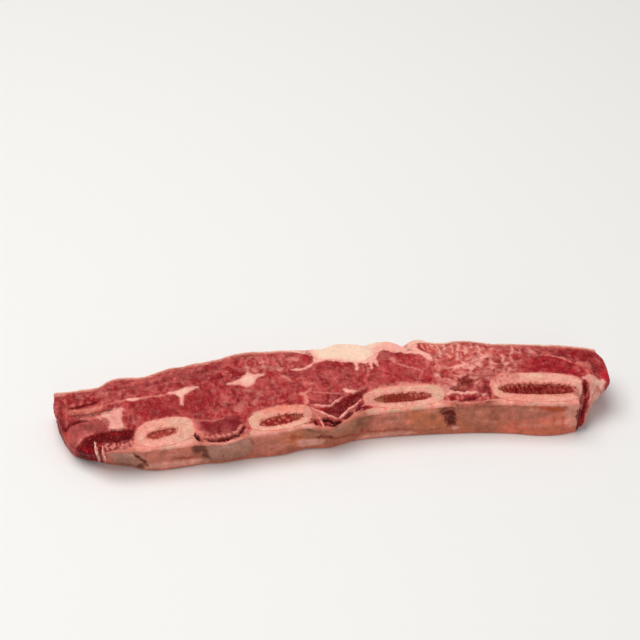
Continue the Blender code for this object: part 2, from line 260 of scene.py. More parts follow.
@dataclass(frozen=True)
class Oval:
    """A squarish oval in plan, a superellipse: |u / long|^n + |v / deep|^n = 1."""

    centre: Pair
    half_long: float
    half_deep: float
    turn: float
    squareness: float

    @property
    def facing(self) -> Pair:
        """The cosine and the sine of its turn."""
        return math.cos(math.radians(self.turn)), math.sin(math.radians(self.turn))

    def outline(self, count: int) -> Array:
        """Points round it: u = long * cos(t)^(2/n) and v = deep * sin(t)^(2/n), signs kept."""
        t = np.linspace(0.0, 2.0 * math.pi, count, endpoint=False)
        power = 2.0 / self.squareness
        u = self.half_long * np.sign(np.cos(t)) * np.abs(np.cos(t)) ** power
        v = self.half_deep * np.sign(np.sin(t)) * np.abs(np.sin(t)) ** power
        c, s = self.facing
        return np.stack([self.centre[0] + u * c - v * s, self.centre[1] + u * s + v * c], axis=-1)

    def outside(self, plan: Array) -> Array:
        """How far each place is outside it, measured along the line from its centre."""
        c, s = self.facing
        x, y = plan[..., 0] - self.centre[0], plan[..., 1] - self.centre[1]
        u, v = np.abs(x * c + y * s) / self.half_long, np.abs(y * c - x * s) / self.half_deep
        reach = np.maximum((u**self.squareness + v**self.squareness) ** (1 / self.squareness), 1e-6)
        return np.hypot(x, y) * (1.0 - 1.0 / reach)


@dataclass(frozen=True)
class Rib:
    """One sawn rib: the outline of its hard ring, and of the spongy core in it."""

    ring: Oval
    core: Oval


@dataclass(frozen=True)
class StripPlan:
    """The strip's outline in plan, its thickness, and how its sides and its cut face dip."""

    bone_side: KnotLine = KnotLine(mm(
        -140.2, -8, -134.8, -20.5, -123, -28.5, -105, -30.8, -88.5, -30.6, -71.5, -30.3,
        -60.5, -31.5, -47, -28.5, -31.5, -27.5, -19.5, -25.8, -6.5, -28, 8.5, -22.2, 32.5, -20.9,
        63.5, -21.6, 84.5, -24.2, 101.5, -27, 118.5, -29.2, 126.2, -28.4,
    ))
    outer_side: KnotLine = KnotLine(mm(
        -143.5, 15.8, -122.5, 16.8, -112.5, 21.7, -97.5, 21.3, -86.2, 25, -58.5, 29, -47, 31.5,
        -19.5, 30, -7, 28.9, 3, 30.9, 16, 29.1, 29.5, 29.5, 37.2, 25.8, 44.5, 28.6, 56.5, 24.7,
        70.5, 24.3, 81.5, 20.7, 112.5, 14.9, 134.5, 9.4,
    ))
    left_end: KnotLine = KnotLine(((0.0, -0.1396), (0.35, -0.1420), (0.7, -0.1431), (1.0, -0.1433)))
    right_end_top: KnotLine = KnotLine((
        (0.0, 0.1240), (0.15, 0.1276), (0.29, 0.1344), (0.39, 0.1378), (0.60, 0.1388),
        (0.82, 0.1384), (1.0, 0.1356),
    ))
    right_end_foot: KnotLine = KnotLine((
        (0.0, 0.1198), (0.18, 0.1228), (0.34, 0.1278), (0.55, 0.1330), (0.86, 0.1384),
        (1.0, 0.1370),
    ))
    # The undercut fades out between these y, and is this deep along the strip.
    undercut_span: Pair = (-0.020, 0.030)
    undercut_depth: KnotLine = KnotLine(mm(
        -143.3, 3.4, -134.5, 7.2, -122.5, 9.2, -108, 6.6, -96, 2.6, -80, 2.6, -60.5, 4.4,
        -44, 2.4, -25, 2.2, -6.5, 4.8, 10, 2.2, 32.5, 1.2, 60, 0, 85, -0.2, 100, -1.2, 109, -0.4,
        116.5, 1.4, 122.5, 3, 140, 3.6,
    ))
    lining_thick: KnotLine = KnotLine(mm(
        -118, 1.2, -108, 3.4, -88.5, 4.5, -70, 4.5, -60, 2.4, -47.5, 4.5, -19, 4, -6, 2.6,
        11, 4.5, 56, 4.5, 66, 3.6, 79, 4.5, 106, 5, 118.6, 4.8,
    ))
    fat_thick: KnotLine = KnotLine(mm(
        -143.3, 1.3, -25, 1.3, -14.5, 3, -8, 7.2, 2, 11.8, 13, 14.2, 19, 11.2, 26, 7, 34, 6.8,
        43, 3.6, 52, 1.5, 139, 1.3,
    ))
    ribs: tuple[Rib, ...] = (
        Rib(Oval((-0.0882, -0.0196), 0.0147, 0.0095, 7.0, 2.6),
            Oval((-0.0900, -0.0206), 0.0074, 0.0027, 14.0, 2.0)),
        Rib(Oval((-0.0306, -0.0180), 0.0163, 0.0080, 5.0, 2.5),
            Oval((-0.0306, -0.0196), 0.0110, 0.0029, 9.0, 2.1)),
        Rib(Oval((0.0328, -0.0118), 0.0206, 0.0077, -2.0, 2.6),
            Oval((0.0318, -0.0128), 0.0145, 0.0030, -2.0, 2.2)),
        Rib(Oval((0.1002, -0.0150), 0.0230, 0.0104, -9.0, 3.0),
            Oval((0.0998, -0.0163), 0.0190, 0.0036, -9.0, 2.6)),
    )
    seams: tuple[Knots, ...] = (
        mm(-134, -2.8, -121.5, -0.6, -114, 1.6, -108.8, 2.2, -109.6, -5.8, -108, -14.2,
           -116, -14.4, -120.6, -7),
        mm(-85, 6.8, -76.5, 9.6, -69, 9.4, -77, 4.2, -78.3, -2.6, -80.2, 3),
        mm(-54.5, 9.6, -48, 12.8, -44, 18, -41.8, 14.2, -35.2, 13.4, -40.5, 9.8, -44.7, 5.6,
           -48, 8.6),
    )
    cleft: Knots = mm(
        114, -33, 120, -34, 121.6, -26.8, 124.4, -22.2, 125.2, -17.8, 124.6, -13.8, 121, -17,
        116.5, -23,
    )
    # The middle, half length and depth of each place between ribs where the cut sags.
    sags: tuple[Triple, ...] = (
        (-0.0605, 0.0150, 0.0009), (-0.0060, 0.0140, 0.0013), (0.0655, 0.0120, 0.0008),
    )
    # Between these ways in from the bone side, the sags fade out.
    sag_reach: Pair = (0.002, 0.012)
    # The slump at the left end: where it is deepest, how far it reaches, and its depth.
    slump_at: Pair = (-0.1400, -0.0260)
    slump_reach: Pair = (0.004, 0.026)
    slump_depth: float = 0.0062
    # Where the right end dips, and by how much.
    dip_span: Pair = (0.1270, 0.1400)
    dip_depth: float = 0.0018
    # Where the flap begins, and how steeply it falls away below this y.
    flap_span: Pair = (0.1185, 0.1215)
    flap_y: float = -0.0148
    flap_fall: float = 1.1
    cut_waves: Waves = ((0.00045, 7.0, 41, 1), (0.00022, 2.4, 42, 3))
    length: float = 0.285
    thick_left: float = 0.0170
    thick_right: float = 0.0230
    lining_span: Pair = (-0.1180, 0.1186)
    # How far the bones stand out of the cut, and how wide the walls of their sockets are.
    proud: float = 0.0004
    socket_wall: float = 0.0005

    def thickness(self, x: Array) -> Array:
        """The slab's thickness, which grows evenly from the left end to the right."""
        return self.thick_left + (self.thick_right - self.thick_left) * (x / self.length + 0.5)

    def right_end(self, across: Array, up: Array) -> Array:
        """The right end's x at this share of the way across and of the way up."""
        foot = self.right_end_foot(across)
        return foot + (self.right_end_top(across) - foot) * up

    def cut_height(self, plan: Array) -> Array:
        """The upper cut: the thickness, less the sags, the slump, the dip and the flap's fall."""
        x, y = plan[..., 0], plan[..., 1]
        inward = 1.0 - smooth_step(*self.sag_reach, y - self.bone_side(x))
        sunk = np.zeros_like(x)
        for middle, half, deepest in self.sags:
            away = np.minimum(1.0, np.abs(x - middle) / half)
            sunk += deepest * (1.0 - away**2) ** 2 * inward
        away = np.hypot(x - self.slump_at[0], y - self.slump_at[1])
        sunk += self.slump_depth * (1.0 - smooth_step(*self.slump_reach, away))
        sunk += self.dip_depth * smooth_step(*self.dip_span, x)
        past_flap = self.flap_fall * np.maximum(0.0, self.flap_y - y)
        return self.thickness(x) - sunk - past_flap * smooth_step(*self.flap_span, x)

    def bumps(self, plan: Array) -> Array:
        """How unevenly the meat has been cut."""
        return uneven(plan, self.cut_waves)

    def undercut(self, points: Array) -> Array:
        """The points, moved in towards their foot as the ribs' inner side slopes."""
        down = 1.0 - points[..., 2] / self.thickness(points[..., 0])
        near_bones = 1.0 - smooth_step(*self.undercut_span, points[..., 1])
        moved = points.copy()
        moved[..., 1] += self.undercut_depth(points[..., 0]) * down * near_bones
        return moved

    def stand(self, plan: Array, foot: Array, top: Array, up: Array) -> Array:
        """Points over these places, foot + (top - foot) * up high, with the undercut."""
        z = foot + (top - foot) * up
        return self.undercut(np.concatenate([plan, z[..., None]], axis=-1))

    def socket(self, plan: Array, margin: float) -> Array:
        """1 inside the rings, this far in from their outlines, and 0 outside them."""
        inside = np.zeros(plan.shape[:-1])
        for rib in self.ribs:
            within = -rib.ring.outside(plan)
            inside = np.maximum(inside, smooth_step(margin, margin + self.socket_wall, within))
        return inside


PLAN = StripPlan()


class Paint(Enum):
    """The colours that the faces are drawn in, as red, green and blue of 255, and as fat or not."""

    LEAN = (168, 46, 50, 0.0)
    LIGHT_LEAN = (202, 92, 88, 0.0)
    ROSE = (184, 92, 88, 0.0)
    CHERRY = (146, 14, 26, 0.0)
    CRIMSON = (164, 14, 34, 0.0)
    BRIGHT = (206, 20, 46, 0.0)
    ORANGE_RED = (204, 72, 56, 0.0)
    MAROON = (112, 14, 26, 0.0)
    DEEP = (98, 2, 8, 0.0)
    BLACK_RED = (56, 2, 2, 0.0)
    BROWN_LEAN = (122, 50, 36, 0.0)
    CREAM = (254, 218, 194, 1.0)
    PINK_FAT = (252, 176, 162, 1.0)
    FAT_LINE = (226, 132, 120, 0.7)
    FAINT_LINE = (206, 106, 98, 0.4)
    BONE = (243, 166, 150, 1.0)
    BONE_PINK = (240, 146, 130, 1.0)
    BONE_TAN = (222, 174, 148, 1.0)
    BONE_YELLOW = (238, 182, 150, 1.0)
    BONE_EDGE = (214, 112, 84, 0.8)
    CORE_PINK = (166, 62, 56, 0.0)
    CORE_RED = (150, 30, 30, 0.0)
    CORE_BROWN = (134, 36, 22, 0.0)
    CORE_DEEP = (122, 4, 8, 0.0)
    SPICULE = (206, 112, 92, 0.6)
    TAN = (182, 104, 80, 0.6)
    TAN_PINK = (206, 118, 100, 0.6)
    TAN_GREY = (170, 124, 108, 0.6)
    TAN_OLIVE = (168, 108, 78, 0.6)
    OCHRE = (206, 116, 78, 0.6)
    ORANGE = (176, 70, 30, 0.6)
    SALMON = (238, 120, 96, 0.6)
    PALE_PINK = (238, 170, 154, 0.8)
    # Brown for real stains, and for painted shade in the skin's creases and between the ribs.
    STAIN_AND_SHADE = (100, 46, 28, 0.2)
    BROWN_POCKET = (108, 20, 14, 0.0)
    RED_LINE = (160, 44, 36, 0.2)

    @property
    def colour(self) -> Array:
        """Its linear colour: the piecewise sRGB curve, undone."""
        seen = np.array(self.value[:3]) / 255.0
        return np.where(seen <= 0.04045, seen / 12.92, ((seen + 0.055) / 1.055) ** 2.4)

    @property
    def fat(self) -> float:
        """How much of it is fat, from 0 to 1."""
        return self.value[3]

    def over(self, under: Array, amount: Array) -> Array:
        """This paint laid over a colour."""
        return blend(under, self.colour, amount)


# The paints by their own names, as the marks use them.
(
    LEAN, LIGHT_LEAN, ROSE, CHERRY, CRIMSON, BRIGHT, ORANGE_RED, MAROON, DEEP, BLACK_RED,
    BROWN_LEAN, CREAM, PINK_FAT, FAT_LINE, FAINT_LINE, BONE, BONE_PINK, BONE_TAN, BONE_YELLOW,
    BONE_EDGE, CORE_PINK, CORE_RED, CORE_BROWN, CORE_DEEP, SPICULE, TAN, TAN_PINK, TAN_GREY,
    TAN_OLIVE, OCHRE, ORANGE, SALMON, PALE_PINK, STAIN_AND_SHADE, BROWN_POCKET, RED_LINE,
) = Paint


class Stroke(Enum):
    """How a mark is drawn: along its points, or filling the outline through them."""

    LINE = "line"
    FILL = "fill"


@dataclass(frozen=True)
class Mark:
    """Something drawn on a face, in millimetres: a line of fat, a muscle, a stain, a groove.

    A line is `width` to each side at its middle and thins out towards its ends. `soft` is how far
    the edge fades, `fray` how raggedly it wanders, and `depth` how far the mark is sunk, or
    raised where it's negative.
    """

    paint: Paint
    stroke: Stroke
    points: Knots
    strength: float
    soft: float
    width: float = 0.5
    depth: float = 0.0
    fray: float = 0.55

    def cover(self, places: Array, ragged: Array, patchy: Array) -> Array:
        """How much of the mark lies at each place, from 0 to its strength.

        Args:
            places: Places on the face, in millimetres.
            ragged: Noise at each place, which frays the mark's edge.
            patchy: Broader noise there, which thins the mark in places.

        Returns:
            1 - smooth step of the distance to the mark's edge over its softness, thinned in
            patches unless the mark is a strong one.
        """
        path = smooth_path(np.array(self.points, dtype=float), self.stroke is Stroke.FILL)
        reach = self.width + self.soft + self.fray
        near = np.all((places > path.min(0) - reach) & (places < path.max(0) + reach), axis=-1)
        cover = np.zeros(places.shape[:-1])
        if self.stroke is Stroke.FILL:
            away = distance_outside(places[near], path)
        else:
            away, share = distance_to_path(places[near], path)
            away -= self.width * (1.0 - 0.75 * (2.0 * share - 1.0) ** 4)
        away += self.fray * ragged[near]
        steady = 0.6 * smooth_step(0.82, 0.95, self.strength)
        thinned = self.strength * np.clip(0.92 + 0.40 * patchy[near] + steady, 0.3, 1.0)
        cover[near] = (1.0 - smooth_step(-0.5 * self.soft, 0.5 * self.soft, away)) * thinned
        return cover


def line(paint: Paint, strength: float, soft: float, width: float, *xy: float,
         **more: float) -> Mark:
    """A mark along points, each given as its x and its y."""
    return Mark(paint, Stroke.LINE, pairs(xy), strength, soft, width, **more)


def fill(paint: Paint, strength: float, soft: float, *xy: float, **more: float) -> Mark:
    """A mark that fills the outline through points, each given as its x and its y."""
    return Mark(paint, Stroke.FILL, pairs(xy), strength, soft, **more)


def dot(paint: Paint, strength: float, soft: float, x: float, y: float, half_x: float,
        half_y: float, **more: float) -> Mark:
    """A mark that fills an oval round (x, y)."""
    turns = np.linspace(0.0, 2.0 * math.pi, 9)[:-1]
    rim = tuple((x + half_x * math.cos(t), y + half_y * math.sin(t)) for t in turns)
    return Mark(paint, Stroke.FILL, rim, strength, soft, **more)


# The broad muscles of the cut face, which lie under the blotches and the marbling.
MUSCLES = (
    fill(ROSE, 0.45, 5, -118, 17, -100, 20, -80, 25, -58, 28, -56, 20, -80, 15, -98, 9, -118, 8),
    fill(MAROON, 0.5, 5, -78, 20, -62, 24, -50, 21, -46, 14, -60, 11, -78, 11),
    fill(LIGHT_LEAN, 0.35, 6, -45, 8, -30, 12, -10, 14, 20, 10, 44, 14, 50, 4, 30, -2, 0, -1,
        -20, 0, -40, -6),
    fill(CRIMSON, 0.6, 3, -48, 27, -36, 28, -20, 28, -10, 25, -12, 19, -26, 17, -42, 20),
    fill(CHERRY, 0.6, 3, -56, 22, -46, 24, -44, 18, -50, 13, -58, 14),
    fill(MAROON, 0.6, 2, 106, 9, 118, 11, 131, 8, 131, 1, 122, 1, 113, 6.5),
    fill(CHERRY, 0.7, 3, -138, 13, -128, 12, -119, 10, -122, 6, -132, 6, -139, 8),
    fill(MAROON, 0.6, 1.8, -15, -3, -8, -3.6, 0, -5, 3, -6.4, 0, -8.6, -4, -11.6, -9, -12.6,
        -14, -11, -15.6, -7),
    fill(CHERRY, 0.8, 2, 43, 0, 49, 1, 52, -2, 47, -5, 42, -4),
    fill(ORANGE_RED, 0.55, 5, 46, 24, 62, 23, 80, 17, 90, 10, 84, 2, 66, -2, 52, 2, 48, 16),
)

# The dark pockets and the small muscles, which lie over the marbling.
POCKETS = (
    fill(CHERRY, 0.5, 4, -106, 3, -96, 5, -84, 5, -66, 6, -64, -3, -72, -8, -92, -9, -104, -3),
    fill(MAROON, 0.75, 3, -72, -15, -64, -15, -54, -13, -50, -18, -54, -24, -63, -25, -70, -21),
    fill(CRIMSON, 0.75, 3, 97, -2, 99, 6, 108, 8, 118, 4, 123, -2, 120, -8, 110, -5.5, 103, -3.5,
        fray=1.4),
    fill(BRIGHT, 0.2, 4, 26, 2, 30, 16, 44, 16, 50, 4, 44, -2),
    *(dot(MAROON, 0.5, 1.8, x, y, 1.5, 1.1, fray=1.6)
      for x, y in ((101, 2.4), (104.4, -0.6), (107.6, 3.2), (110.4, -2.4), (113.6, 1),
        (116.4, -3.6), (119.4, -0.6), (108.4, -0.4), (112.4, -4.6), (102.6, 5.2))),
    *(dot(FAINT_LINE, 0.4, 1.2, x, y, 1, 0.5, fray=1.6)
      for x, y in ((99.4, 0.4), (105.8, 1.6), (109.6, 1.4), (112, 3.4), (115.6, -1.2), (118, 1.6),
        (106.6, -2.4), (113.8, -6.4), (121.4, -4.2))),
    fill(ROSE, 0.6, 1.6, -137, -10, -131, -7.2, -124, -7, -117.5, -8, -117, -13.5, -124, -14.5,
        -130, -17, -134, -20, -137, -16, depth=-0.3),
    fill(BROWN_LEAN, 0.35, 3, -130, -8.6, -119, -8, -117.6, -13, -124, -13.4),
    # The dark muscle at the slumped left corner: its dark red is partly its own colour and partly
    # painted shade.
    fill(DEEP, 0.97, 1.6, -131, -20, -127, -16.5, -118, -15.5, -109, -14.5, -101.5, -16.5,
        -103, -20, -108, -22.5, -114, -23, -122, -22.5, -122, -30, -127, -32, -136, -26, depth=0.9),
    line(CHERRY, 0.6, 1.6, 0.8, -118, -17.6, -113, -17, -108.6, -18.6),
    line(BRIGHT, 0.6, 1.2, 0.45, -130.6, -21, -127.6, -25, -126, -31),
    line(BRIGHT, 0.5, 1.2, 0.5, -133.6, -22, -130.6, -27, -129.6, -32),
    line(CRIMSON, 0.7, 1, 0.5, -126.6, -21, -125, -26, -124.4, -33),
    fill(DEEP, 0.8, 1.4, 15.6, -2.4, 11, -4, 7, -5.6, 3.2, -7.4, -1, -10.4, -4.6, -13.2, -9, -14.4,
        -8.6, -17.4, -5.6, -20, -2.2, -21.2, 1.6, -18.8, 5.2, -15.6, 8.8, -12, 12.4, -7.4,
        depth=1.2, fray=0.9),
    fill(DEEP, 0.6, 2, 12, -4.4, 8, -6.4, 3, -10, -1, -13.6, -3, -18, 0, -17.4, 5, -12.6, 9.6, -8.4,
        fray=1),
    fill(MAROON, 0.5, 1.6, -8.4, -15.4, -5, -18.6, -2.6, -19.4, -3, -15.6),
    fill(PALE_PINK, 0.55, 2.6, 46, -5.4, 52, -6, 58, -9.6, 56, -13.4, 49, -13.6),
    fill(BROWN_POCKET, 0.8, 1.8, 56, -9.5, 60, -6.5, 63.5, -2.5, 67, -2.5, 69.5, -6, 68, -10,
        64, -12.5, 59, -11.5, depth=1.1, fray=1.8),
    dot(TAN_PINK, 0.55, 1.2, 63.4, -8.8, 1.8, 1, fray=1.2),
    dot(ROSE, 0.5, 1.2, 59, -8.6, 1.4, 0.8, fray=1.2),
    fill(BROWN_POCKET, 0.85, 1.6, 62, -3.4, 66, -1.9, 69, -5, 66, -7, 63, -6, fray=1.4),
    fill(CRIMSON, 0.75, 1, 52, -14.4, 60, -13.8, 67, -14.8, 68.6, -17.5, 64, -19.2, 53, -18.6,
        depth=0.7, fray=1),
    fill(DEEP, 0.85, 1, 62, -16.6, 67, -15.8, 68.4, -17.2, 64, -19, depth=0.6),
    dot(MAROON, 0.75, 1.2, 74.8, -14, 1.5, 4.4, fray=1),
    dot(MAROON, 0.7, 1, 56.4, -16.4, 1.4, 1.8),
    line(FAT_LINE, 0.8, 0.8, 0.4, 54, -14, 54.2, -18.6),
    line(FAT_LINE, 0.8, 0.8, 0.5, 58.6, -13.8, 59, -18.4),
    line(FAT_LINE, 0.6, 0.8, 0.35, 61.4, -13.8, 61, -17.4),
    line(CRIMSON, 0.55, 2.4, 1.1, 133.6, 2, 135.2, -3, 135.6, -8, fray=1.2),
    dot(BRIGHT, 0.75, 3, 135.8, -10.8, 2.6, 4, fray=1.4),
    line(MAROON, 0.85, 2.4, 1.1, 131, -0.6, 131.6, -4, 131, -8, fray=1.6),
    fill(CHERRY, 0.65, 2.2, 122, 8.4, 130, 8.2, 134.4, 4, 133.4, -1, 129.6, 0.8, 123, 3.6,
        fray=1.6),
    line(DEEP, 0.55, 1.6, 0.6, 129.4, 2.6, 130.6, -0.6, 132, -3.4, fray=1.4),
    dot(ORANGE_RED, 0.85, 1.5, -138, -14.5, 2.2, 3.4),
    dot(CRIMSON, 0.6, 2.4, -13.5, 23.4, 1.9, 3, fray=1),
    dot(BRIGHT, 0.5, 2, -13.3, 23.6, 0.8, 1.8),
    dot(DEEP, 0.6, 2, 118.8, -3, 1.4, 1.6),
    dot(DEEP, 0.7, 2, 115, -6, 2.2, 1.2),
    dot(ROSE, 0.8, 1.5, 27, 19, 3, 3.4),
    dot(CHERRY, 0.6, 1, 28.4, 21.6, 1.6, 1),
)

